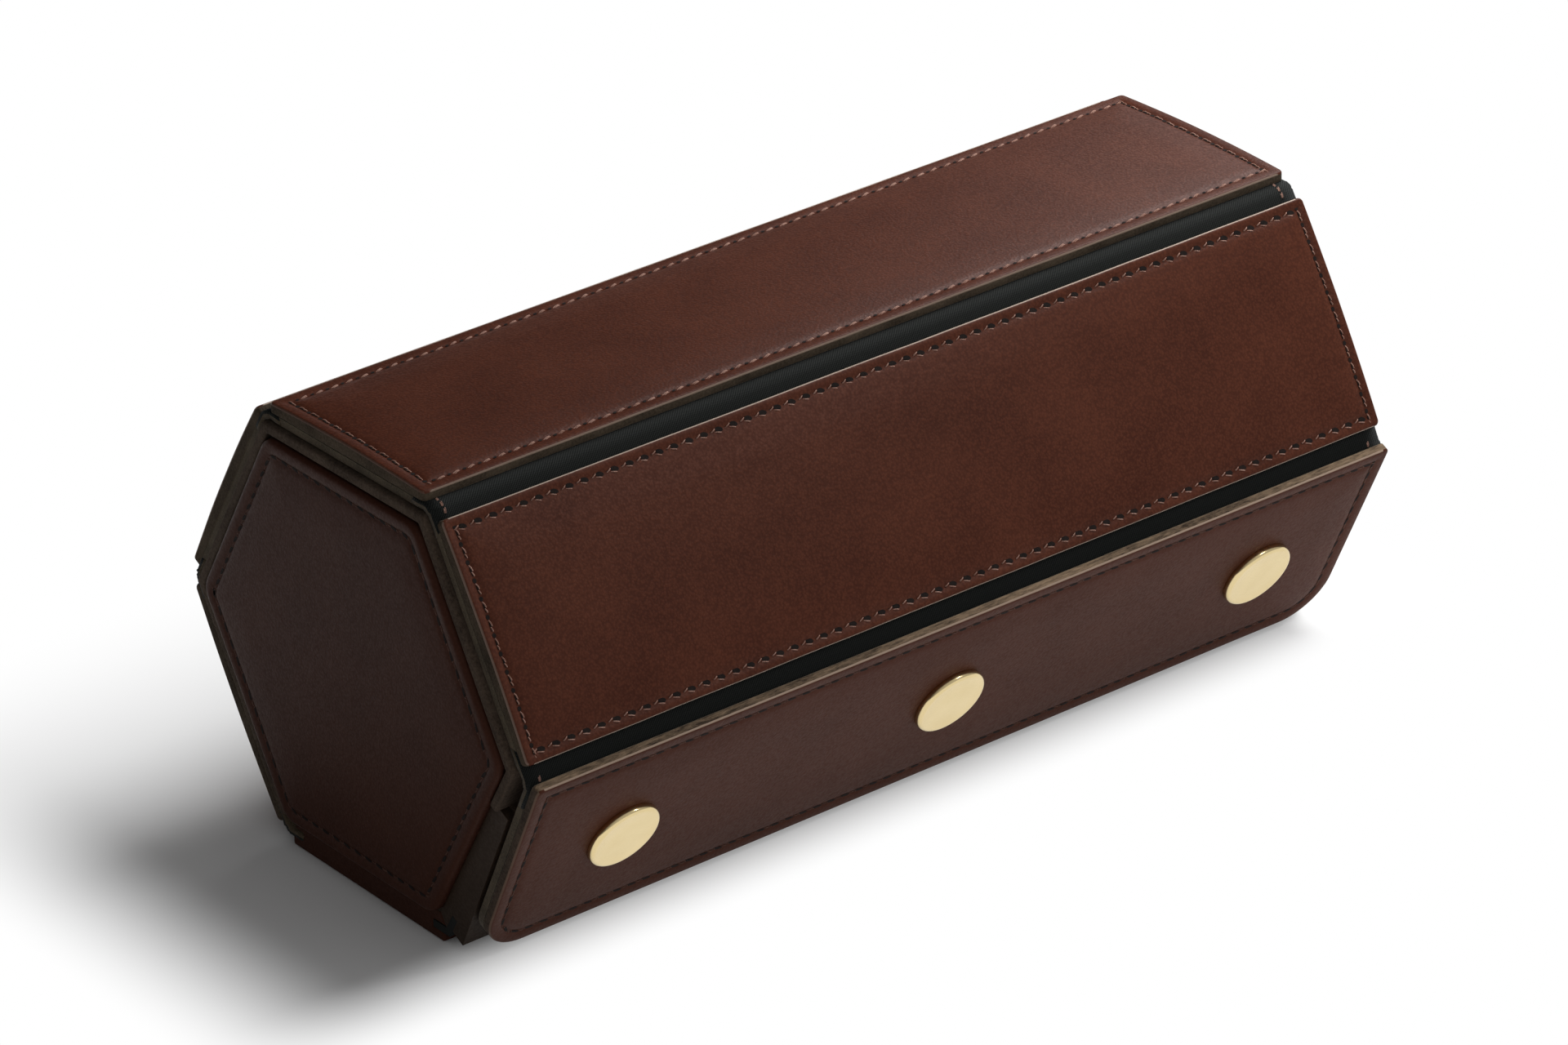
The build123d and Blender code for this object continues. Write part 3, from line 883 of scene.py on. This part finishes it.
def one_stitch(tree, given):
    """Two strands of thread and dark discs of painted shade for a hole and a slit, laid out along x from the
    hole's middle.
    """
    stitch = add(tree, "GeometryNodeJoinGeometry")
    round_thread = add(tree, "GeometryNodeCurvePrimitiveCircle", {
        "Resolution": 6, "Radius": maths(tree, "MULTIPLY", given["Thread Width"], 0.5)})
    risen = add(tree, "ShaderNodeCombineXYZ", {
        "Z": maths(tree, "MULTIPLY", given["Thread Rise"], 2.0)})
    for label in ("First", "Second"):
        start, end = given[f"{label} Start"], given[f"{label} End"]
        both = add(tree, "ShaderNodeVectorMath", {0: start, 1: end}, operation="ADD")
        middle = add(tree, "ShaderNodeVectorMath", {0: both.outputs[0], 1: (0.5, 0.5, 0.5),
                                                    2: risen.outputs[0]}, operation="MULTIPLY_ADD")
        arch = add(tree, "GeometryNodeCurveQuadraticBezier", {
            "Resolution": 5, "Start": start, "Middle": middle.outputs[0], "End": end})
        strand = add(tree, "GeometryNodeCurveToMesh", {
            "Curve": arch.outputs[0], "Profile Curve": round_thread.outputs[0],
            "Fill Caps": True})
        rounded = add(tree, "GeometryNodeSetShadeSmooth", {0: strand.outputs[0]})
        tree.links.new(rounded.outputs[0], stitch.inputs[0])

    half_pitch = maths(tree, "MULTIPLY", given["Pitch"], 0.5)
    for length, width, slant, x, level in (
            (given["Hole Length"], given["Hole Width"], given["Hole Slant"], 0.0, hole_level),
            (given["Slit Length"], given["Slit Width"], 0.0, half_pitch, slit_level)):
        disc = add(tree, "GeometryNodeMeshCircle", {"Vertices": 12, "Radius": 0.5},
                   fill_type="NGON")
        stretch = add(tree, "ShaderNodeCombineXYZ", {"X": length, "Y": width, "Z": 1.0})
        spot = add(tree, "ShaderNodeCombineXYZ", {"X": x, "Z": level})
        turn = add(tree, "ShaderNodeCombineXYZ", {"Z": slant})
        laid = add(tree, "GeometryNodeTransform", {
            "Geometry": disc.outputs[0], "Translation": spot.outputs[0],
            "Rotation": turn.outputs[0], "Scale": stretch.outputs[0]})
        marked = add(tree, "GeometryNodeStoreNamedAttribute", {
            "Geometry": laid.outputs[0], "Name": "hole", "Value": True},
            data_type="BOOLEAN", domain="FACE")
        tree.links.new(marked.outputs[0], stitch.inputs[0])
    return stitch.outputs[0]


# %% Tree that sews
def geometry_tree():
    """Make the sewing tree and return it with the identifiers of its inputs."""
    tree = bpy.data.node_groups.new("sewing", "GeometryNodeTree")
    sockets = {}

    def new_input(label, kind, value=None):
        socket = tree.interface.new_socket(label, in_out="INPUT", socket_type=f"NodeSocket{kind}")
        sockets[label] = socket.identifier
        if value is not None:
            socket.default_value = value

    new_input("Geometry", "Geometry")
    for label, value in {"Pitch": stitch_pitch, "Thread Width": 0.3 * mm, "Thread Rise": 0.2 * mm,
                         "Hole Length": 1.0 * mm, "Hole Width": 0.6 * mm, "Hole Slant": 0.0,
                         "Slit Length": 1.0 * mm, "Slit Width": 0.2 * mm, "Wobble": 0.07}.items():
        new_input(label, "Float", value)
    for label in ("First Start", "First End", "Second Start", "Second End"):
        new_input(label, "Vector")
    new_input("Seed", "Int")
    new_input("Thread Finish", "Material")
    new_input("Hole Finish", "Material")
    tree.interface.new_socket("Geometry", in_out="OUTPUT", socket_type="NodeSocketGeometry")
    given = tree.nodes.new("NodeGroupInput").outputs
    result = tree.nodes.new("NodeGroupOutput")

    curve = add(tree, "GeometryNodeMeshToCurve", {"Mesh": given["Geometry"]})
    walk = add(tree, "GeometryNodeCurveToPoints", {
        "Curve": curve.outputs[0], "Length": given["Pitch"]}, mode="LENGTH")
    out = add(tree, "GeometryNodeInputNamedAttribute", {"Name": "out"}, data_type="FLOAT_VECTOR")
    along = add(tree, "FunctionNodeAlignRotationToVector", {
        "Vector": walk.outputs["Tangent"]}, axis="X")
    upright = add(tree, "FunctionNodeAlignRotationToVector", {
        "Rotation": along.outputs[0], "Vector": out.outputs["Attribute"]}, axis="Z",
        pivot_axis="X")
    wobble = add(tree, "FunctionNodeRandomValue", {
        2: maths(tree, "MULTIPLY", given["Wobble"], -1.0), 3: given["Wobble"],
        "Seed": given["Seed"]}, data_type="FLOAT")
    lean = add(tree, "ShaderNodeCombineXYZ", {"Z": wobble.outputs[1]})
    turned_to = add(tree, "FunctionNodeEulerToRotation", {0: lean.outputs[0]})
    final = add(tree, "FunctionNodeRotateRotation", {
        "Rotation": upright.outputs[0], "Rotate By": turned_to.outputs[0]},
        rotation_space="LOCAL")

    placed = add(tree, "GeometryNodeInstanceOnPoints", {
        "Points": walk.outputs["Points"], "Instance": one_stitch(tree, given),
        "Rotation": final.outputs[0]})
    real = add(tree, "GeometryNodeRealizeInstances", {"Geometry": placed.outputs[0]})
    threads = add(tree, "GeometryNodeSetMaterial", {
        "Geometry": real.outputs[0], "Material": given["Thread Finish"]})
    is_hole = add(tree, "GeometryNodeInputNamedAttribute", {"Name": "hole"}, data_type="BOOLEAN")
    done = add(tree, "GeometryNodeSetMaterial", {
        "Geometry": threads.outputs[0], "Selection": is_hole.outputs[0],
        "Material": given["Hole Finish"]})
    tree.links.new(done.outputs[0], result.inputs[0])
    return tree, sockets


sewing, sewing_inputs = geometry_tree()


def sew(name, rows, seed, thread, **sizes):
    """Sew rows of (point, outward direction) and return all stitches as one plain mesh piece."""
    points, edges, outs = [], [], []
    for row in rows:
        start = len(points)
        points += [p for p, _ in row]
        outs += [o for _, o in row]
        edges += [(start + k, start + k + 1) for k in range(len(row) - 1)]
    path = bpy.data.meshes.new(f"{name}_path")
    path.from_pydata([tuple(p) for p in points], edges, [])
    out = path.attributes.new("out", "FLOAT_VECTOR", "POINT")
    out.data.foreach_set("vector", [c for o in outs for c in o])
    guide = new_object(f"{name}_guide", path)
    modifier = guide.modifiers.new("sewing", "NODES")
    modifier.node_group = sewing
    modifier[sewing_inputs["Seed"]] = seed
    modifier[sewing_inputs["Thread Finish"]] = thread
    modifier[sewing_inputs["Hole Finish"]] = needle_hole
    for label, value in sizes.items():
        modifier[sewing_inputs[label.replace("_", " ")]] = value
    ready = guide.evaluated_get(bpy.context.evaluated_depsgraph_get())
    piece = new_object(name, bpy.data.meshes.new_from_object(ready))
    bpy.data.objects.remove(guide)
    return piece


# %% [markdown]
# The photograph's stitches differ from panel to panel, so each kind has its own sizes. A row
# follows its panel's bow and stops inside the panel's edges. At both ends of the roll, short
# stitches run on across the twill.

# %% Kinds of stitch
def strands(*points):
    """Starts and ends of the two strands, in millimetres from the hole: along, across, up."""
    labels = ("First_Start", "First_End", "Second_Start", "Second_End")
    return {label: [v * mm for v in point] for label, point in zip(labels, points)}


# A broad slanting hole with a short loop before it and a strand along its lower lip
broad_stitch = {"Hole_Length": 1.7 * mm, "Hole_Width": 0.95 * mm, "Hole_Slant": -0.33,
                "Slit_Length": 0.5 * mm, "Slit_Width": 0.1 * mm, "Thread_Width": 0.24 * mm,
                **strands((-1.70, -0.12, -0.08), (-0.78, 0.34, -0.05),
                          (-0.85, -0.26, -0.08), (0.50, -0.76, -0.05))}
# A round hole and a pair of long strands that climb side by side
rope_stitch = {"Hole_Length": 0.85 * mm, "Hole_Width": 0.60 * mm, "Hole_Slant": 0.35,
               "Thread_Width": 0.26 * mm, "Thread_Rise": 0.26 * mm,
               **strands((0.45, -0.15, -0.2), (2.65, 0.50, -0.2),
                         (0.85, -0.32, -0.2), (2.50, 0.22, -0.2))}
# A square hole and a long slit with the thread pulled down to one side of it
slit_stitch = {"Hole_Length": 0.90 * mm, "Hole_Width": 0.80 * mm,
               "Slit_Length": 1.9 * mm, "Slit_Width": 0.34 * mm, "Thread_Width": 0.28 * mm,
               **strands((0.55, 0.05, -0.10), (1.65, 0.34, -0.05),
                         (1.75, 0.00, -0.10), (2.60, 0.26, -0.10))}
# A long dash of painted shade where the thread has pulled into the leather, with a tick of thread at its end
sunk_stitch = {"Hole_Length": 2.2 * mm, "Hole_Width": 0.62 * mm, "Hole_Slant": -0.14,
               "Slit_Length": 0.2 * mm, "Slit_Width": 0.2 * mm, "Thread_Width": 0.26 * mm,
               "Thread_Rise": 0.12 * mm,
               **strands((1.00, 0.10, -0.10), (2.15, -0.05, -0.08),
                         (-1.10, 0.32, -0.10), (-0.75, -0.20, -0.05))}

# %% Seams of the panels
thread_lift = 0.02 * mm
row_points = 12


def straight_row(place, start, end, height, outward, span=None):
    """Row along a straight seam in a side's axes. With a span, it follows the side's bow."""
    row = []
    for t in np.linspace(0, 1, row_points):
        x, y = Vector(start).lerp(Vector(end), t)
        rise = bow((y - span[0]) / (span[1] - span[0])) if span else 0.0
        row.append((place @ Vector((x, y, height + rise)), outward))
    return row


def long_rows(low, high, inset, place, height, outward, span=None):
    """Two rows along the panel, both sewn from left to right."""
    start, end = low.x + inset + stitch_pitch / 2, high.x - inset - stitch_pitch / 2
    return [straight_row(place, (start, y), (end, y), height, outward, span)
            for y in (low.y + inset, high.y - inset)]


def end_rows(low, high, inset, place, height, outward, span=None):
    """One row across each end of the panel, with its first and last thread inside the edges."""
    start, end = high.y - stitch_pitch / 2, low.y + stitch_pitch
    return [straight_row(place, (x, start), (x, end), height, outward, span)
            for x in (low.x + inset, high.x - inset)]


for seed, name in enumerate(("rear_lower", "rear_upper", "top", "front")):
    angle, inset = side_angle[name], seam_inset[name]
    place = side_matrix(angle)
    outward = place.to_3x3().col[2].copy()
    low, high = extent(f"{name}_leather", angle)
    level = high.z + sewn_height(inset, inset) + thread_lift
    high.y -= cut_short.get(name, 0.0)
    face = (low, high, inset, place, level, outward, (low.y, high.y))
    lining_low, lining_high = extent(f"{name}_lining", angle)
    lining = (lining_low, lining_high, inset, place, lining_low.z, -outward)
    for kind, rows, stitch in (
            ("long", long_rows(*face), broad_stitch if name == "front" else rope_stitch),
            ("end", end_rows(*face), slit_stitch),
            ("lining", long_rows(*lining) + end_rows(*lining), rope_stitch)):
        stitches = sew(f"{name}_{kind}_stitches", rows, seed, pale_thread, **stitch)
        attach(stitches, name)
        print(name, kind, "stitches:", len(stitches.data.polygons), "faces")

# %% Seams of the flap
def rounded_row(low, high, inset, radius, place, height, outward):
    """Row down one end of the flap, along its free edge and up the other end."""
    left, right, bottom = low.x + inset, high.x - inset, low.y + inset
    path = [(left, high.y - stitch_pitch / 2), (left, (high.y + bottom + radius) / 2)]
    for centre_x, from_angle in ((left + radius, pi), (right - radius, 1.5 * pi)):
        path += [(centre_x + radius * cos(t), bottom + radius + radius * sin(t))
                 for t in np.linspace(from_angle, from_angle + pi / 2, 9)]
    path += [(right, (high.y + bottom + radius) / 2), (right, high.y - stitch_pitch)]
    return [(place @ Vector((x, y, height)), outward) for x, y in path]


flap_place = side_matrix(side_angle["flap"])
flap_out = flap_place.to_3x3().col[2].copy()
low, high = extent("flap_leather", side_angle["flap"])
inset = seam_inset["flap"]
flap_level = high.z + sewn_height(inset, inset) + thread_lift
bend = flap_corner - inset
flap_rows = [
    rounded_row(low, high, inset, bend, flap_place, flap_level, flap_out),
    straight_row(flap_place, (low.x + inset + stitch_pitch / 2, high.y - inset),
                 (high.x - inset - stitch_pitch / 2, high.y - inset), flap_level, flap_out)]
inner_low, inner_high = extent("flap_lining", side_angle["flap"])
lining_row = rounded_row(inner_low, inner_high, inset, bend, flap_place, inner_low.z, -flap_out)
for kind, rows, yarn in (("face", flap_rows, dark_thread), ("lining", [lining_row], pale_thread)):
    flap_stitches = sew(f"flap_{kind}_stitches", rows, 11, yarn, **sunk_stitch)
    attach(flap_stitches, "flap")

# %% Seams of the end faces
inset = seam_inset["end"]
for side, sign in (("left", -1), ("right", 1)):
    low, high = extent(f"end_face_{side}", 0)
    surface = (high.x if sign > 0 else low.x) + sign * (sewn_height(inset, inset) + thread_lift)
    row = []
    for direction in np.linspace(0, -sign * 2 * pi, 181):
        r = ring_radius(high.z + end_grown - inset, end_corner - inset, direction)
        row.append((Vector((surface, r * sin(direction + pi / 2),
                            axis_height + r * cos(direction + pi / 2))), Vector((sign, 0, 0))))
    seam = sew(f"end_stitches_{side}", [row], 13, dark_thread, **sunk_stitch)
    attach(seam, "root")

# %% Seams that run on across the twill
twill_stitch = {"Pitch": 1.2 * mm, "Thread_Width": 0.28 * mm, "Thread_Rise": 0.12 * mm,
                "Hole_Length": 0.35 * mm, "Hole_Width": 0.3 * mm, "Slit_Length": 0.3 * mm,
                **strands((-0.5, 0.1, -0.1), (0.5, -0.1, -0.1),
                          (-0.3, -0.2, -0.1), (0.4, -0.3, -0.1))}
for seed, (name, (start, end)) in enumerate(hinge_gaps.items()):
    first, corner, last = hinge_points(name)
    fold = folded_path(first, corner, last, fold_radius)[2:-2]
    centre = Vector((0, 0, axis_height))
    middle = corner + (centre - corner).normalized() * (2 * fold_radius / sqrt(3))
    rows = []
    for sign in (-1, 1):
        x = sign * (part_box("top_leather")[1].x - seam_inset["top"])
        rows.append([(Vector((x, p.y, p.z)), (p - middle).normalized()) for p in fold])
    crossing_thread = sew(f"hinge_stitches_{name}", rows, 30 + seed, pale_thread, **twill_stitch)
    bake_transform(crossing_thread)

# %% [markdown]
# The cushions are foam in a suede cover. A cloth simulation blows up a copy of the CAD shape a
# little from inside, so that the suede is round and tight as on foam. The cover is sewn near both
# ends, and each seam pulls a groove. One cushion is simulated, and its mesh is used three times.

# %% Cushions
cushion_start = 0.99
cushion_voxel = 2.6 * mm
cushion_pressure = 4.0
cushion_frames = 20
cushion_swell = 1.3 * mm
seam_from_end = 6.0 * mm
seam_pull = 0.5 * mm
seam_width = 1.1 * mm
suede_dent = 0.35 * mm
dent_size = 11 * mm


def outer_shell(node):
    """Outer surface of a hollow CAD solid as a bmesh."""
    bm = bmesh.new()
    bm.from_mesh(frame["nodes"][node].data)
    bmesh.ops.remove_doubles(bm, verts=bm.verts, dist=merge_reach)
    lowest = min(bm.verts, key=lambda v: v.co.z)
    reached, front = {lowest}, [lowest]
    while front:
        vertex = front.pop()
        for edge in vertex.link_edges:
            other = edge.other_vert(vertex)
            if other not in reached:
                reached.add(other)
                front.append(other)
    bmesh.ops.delete(bm, geom=[v for v in bm.verts if v not in reached], context="VERTS")
    return bm


def evaluated_mesh(piece):
    """Mesh of a piece as its modifiers leave it."""
    ready = piece.evaluated_get(bpy.context.evaluated_depsgraph_get())
    return bpy.data.meshes.new_from_object(ready)


def co_array(mesh):
    """Places of a mesh's points, one row each."""
    flat = np.zeros(len(mesh.vertices) * 3)
    mesh.vertices.foreach_get("co", flat)
    return flat.reshape(-1, 3)


def padded_cushion(node):
    """Simulate the cushion and return its mesh, in its place in the middle compartment."""
    low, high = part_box(node)
    middle = (low + high) / 2
    bm = outer_shell(node)
    for vertex in bm.verts:
        vertex.co = middle + (vertex.co - middle) * cushion_start
    mesh = bpy.data.meshes.new("cushion")
    bm.to_mesh(mesh)
    bm.free()
    piece = new_object("cushion", mesh)
    remesh = piece.modifiers.new("remesh", "REMESH")
    remesh.mode = "VOXEL"
    remesh.voxel_size = cushion_voxel
    piece.data = evaluated_mesh(piece)
    piece.modifiers.clear()
    rest = co_array(piece.data)
    cloth = piece.modifiers.new("cloth", "CLOTH")
    cloth.settings.use_pressure = True
    cloth.settings.uniform_pressure_force = cushion_pressure
    cloth.settings.effector_weights.gravity = 0
    for step in range(1, cushion_frames + 1):
        bpy.context.scene.frame_set(step)
    piece.data = evaluated_mesh(piece)
    piece.modifiers.clear()
    bpy.context.scene.frame_set(1)
    move = co_array(piece.data) - rest
    reach = np.linalg.norm(move, axis=1, keepdims=True)
    kept = rest + move * np.minimum(1.0, cushion_swell / np.maximum(reach, 1e-9))
    for end in (low.x + seam_from_end, high.x - seam_from_end):
        pull = np.exp(-((kept[:, 0] - end) / seam_width) ** 2) * seam_pull
        ray = kept[:, 1:] - np.array([middle.y, middle.z])
        kept[:, 1:] -= ray / np.linalg.norm(ray, axis=1, keepdims=True) * pull[:, None]
    piece.data.vertices.foreach_set("co", kept.ravel())
    finer = piece.modifiers.new("finer", "SUBSURF")
    finer.levels = finer.render_levels = 1
    done = evaluated_mesh(piece)
    bpy.data.objects.remove(piece)
    return done


cushion_mesh = padded_cushion("cushion_cover_centre")
cushion_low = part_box("cushion_cover_centre")[0]
for seed, side in enumerate(("left", "centre", "right")):
    low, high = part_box(f"cushion_cover_{side}")
    mesh = cushion_mesh.copy()
    mesh.transform(Matrix.Translation(low - cushion_low))
    points = co_array(mesh)
    middle = np.array((low + high) / 2)
    for k, point in enumerate(points):
        ray = point - middle
        points[k] -= ray / np.linalg.norm(ray) * suede_dent * abs(wander(point, dent_size, seed))
    mesh.vertices.foreach_set("co", points.ravel())
    mesh.materials.clear()
    mesh.materials.append(cushion_suede)
    mesh.shade_smooth()
    cushion = new_object(f"cushion_{side}", mesh)
    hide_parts(f"cushion_cover_{side}")
    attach(cushion, f"cushion_{side}")
print("cushion:", len(cushion_mesh.polygons), "faces")

# %% [markdown]
# The camera stands where the photograph was taken from. It is far away behind a long lens, so the
# roll's long edges almost stay parallel.

# %% Camera
camera = new_object("camera", bpy.data.cameras.new("camera"))
camera.data.sensor_width = 36.0
camera.data.lens = 174.2
camera.location = (-0.7668, -0.9723, 0.6896)
camera_turn = (62.35, 1.10, -38.74)
camera.rotation_euler = Euler([radians(t) for t in camera_turn])
bpy.context.scene.camera = camera

# %% [markdown]
# The light is a small studio's. A soft lamp hangs close over the roll's right half, so the leather
# grows darker to the left and the shadow falls to the left. A weaker one behind on the right puts
# the sheen on that end of the top, and a small one near the front lights the middle of the front
# panel. The room around is pale in front and dark behind. The floor is white paper. Near the roll
# it is plain paper with the roll's shadow on it. Further out, camera rays and reflections see it
# as a lit white sheet, so the background is white with no more light on the leather.

# %% Floor
floor_half = 3.0
floor_points = [(x, y, -0.05 * mm) for x, y in
                ((-floor_half, -floor_half), (floor_half, -floor_half),
                 (floor_half, floor_half), (-floor_half, floor_half))]
paper_white = 0.87
# Along each axis: where the paper starts to turn into the lit sheet, and where it has become it
shadow_room = {("X", -1): (118 * mm, 158 * mm), ("X", 1): (104 * mm, 130 * mm),
               ("Y", -1): (22 * mm, 47 * mm), ("Y", 1): (30 * mm, 120 * mm)}


def ray_kinds(tree):
    """Camera rays alone, and camera rays, reflections and transmission together."""
    path = add(tree, "ShaderNodeLightPath")
    some = maths(tree, "MAXIMUM", path.outputs["Is Glossy Ray"], path.outputs["Is Transmission Ray"])
    camera_ray = path.outputs["Is Camera Ray"]
    return camera_ray, maths(tree, "MAXIMUM", some, camera_ray)


def soft_step(tree, value, low, high):
    """Rise from 0 to 1 between two values, without a corner at either."""
    node = add(tree, "ShaderNodeMapRange", {"Value": value, "From Min": low, "From Max": high},
               interpolation_type="SMOOTHSTEP")
    return node.outputs["Result"]


paper, tree, shader = new_material("white_paper", Specular_IOR_Level=0.0, Roughness=1.0)
where = add(tree, "ShaderNodeSeparateXYZ", {0: object_point(tree)})
plain = 1.0
for (axis, sign), (near, far) in shadow_room.items():
    outwards = maths(tree, "MULTIPLY", where.outputs[axis], sign)
    plain = maths(tree, "MULTIPLY", plain, maths(tree, "SUBTRACT", 1.0,
                                                 soft_step(tree, outwards, near, far)))
lit = maths(tree, "MULTIPLY", maths(tree, "SUBTRACT", 1.0, plain), ray_kinds(tree)[1])
tree.links.new(blend_colours(tree, lit, (paper_white,) * 3, (0, 0, 0)),
               shader.inputs["Base Color"])
shader.inputs["Emission Color"].default_value = (1, 1, 1, 1)
tree.links.new(lit, shader.inputs["Emission Strength"])
floor = new_piece("floor", floor_points, [(0, 1, 2, 3)], [paper])
floor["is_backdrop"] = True

# %% Room and lamps
room_dark, room_pale = 0.035, 0.52
pale_way = (0.25, -0.92, 0.30)
world = bpy.data.worlds.new("studio")
bpy.context.scene.world = world
world.use_nodes = True
tree = world.node_tree
way = add(tree, "ShaderNodeTexCoord").outputs["Generated"]
towards = add(tree, "ShaderNodeVectorMath", {0: way, 1: pale_way}, operation="DOT_PRODUCT")
room = remap(tree, soft_step(tree, towards.outputs["Value"], -0.3, 0.95),
             0.0, 1.0, room_dark, room_pale)
height = add(tree, "ShaderNodeSeparateXYZ", {0: way}).outputs["Z"]
horizon = maths(tree, "SUBTRACT", 1.0, soft_step(tree, height, 0.02, 0.12))
camera_ray, seen = ray_kinds(tree)
backdrop = maths(tree, "MAXIMUM", maths(tree, "MULTIPLY", horizon, seen), camera_ray)
tree.links.new(maths(tree, "MAXIMUM", room, backdrop),
               tree.nodes["Background"].inputs["Strength"])
tree.nodes["Background"].inputs["Color"].default_value = (1, 1, 1, 1)


def soft_lamp(name, place, power, width, height):
    """Flat lamp that faces the middle of the roll."""
    lamp = new_object(name, bpy.data.lights.new(name, "AREA"))
    lamp.data.shape = "RECTANGLE"
    lamp.data.size, lamp.data.size_y = width, height
    lamp.data.energy = power
    lamp.location = place
    aim = Vector((0, 0, axis_height)) - lamp.location
    lamp.rotation_euler = aim.to_track_quat("-Z", "Y").to_euler()
    return lamp


soft_lamp("key", (0.27, 0.03, 0.34), 1.75, 0.24, 0.24)
soft_lamp("sheen", (0.52, 0.38, 0.33), 0.25, 0.22, 0.16)
soft_lamp("glint", (0.13, -0.225, 0.26), 0.115, 0.05, 0.05)
bpy.context.scene.view_settings.view_transform = "Standard"

# %% Bounds of the shown pieces
low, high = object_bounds()
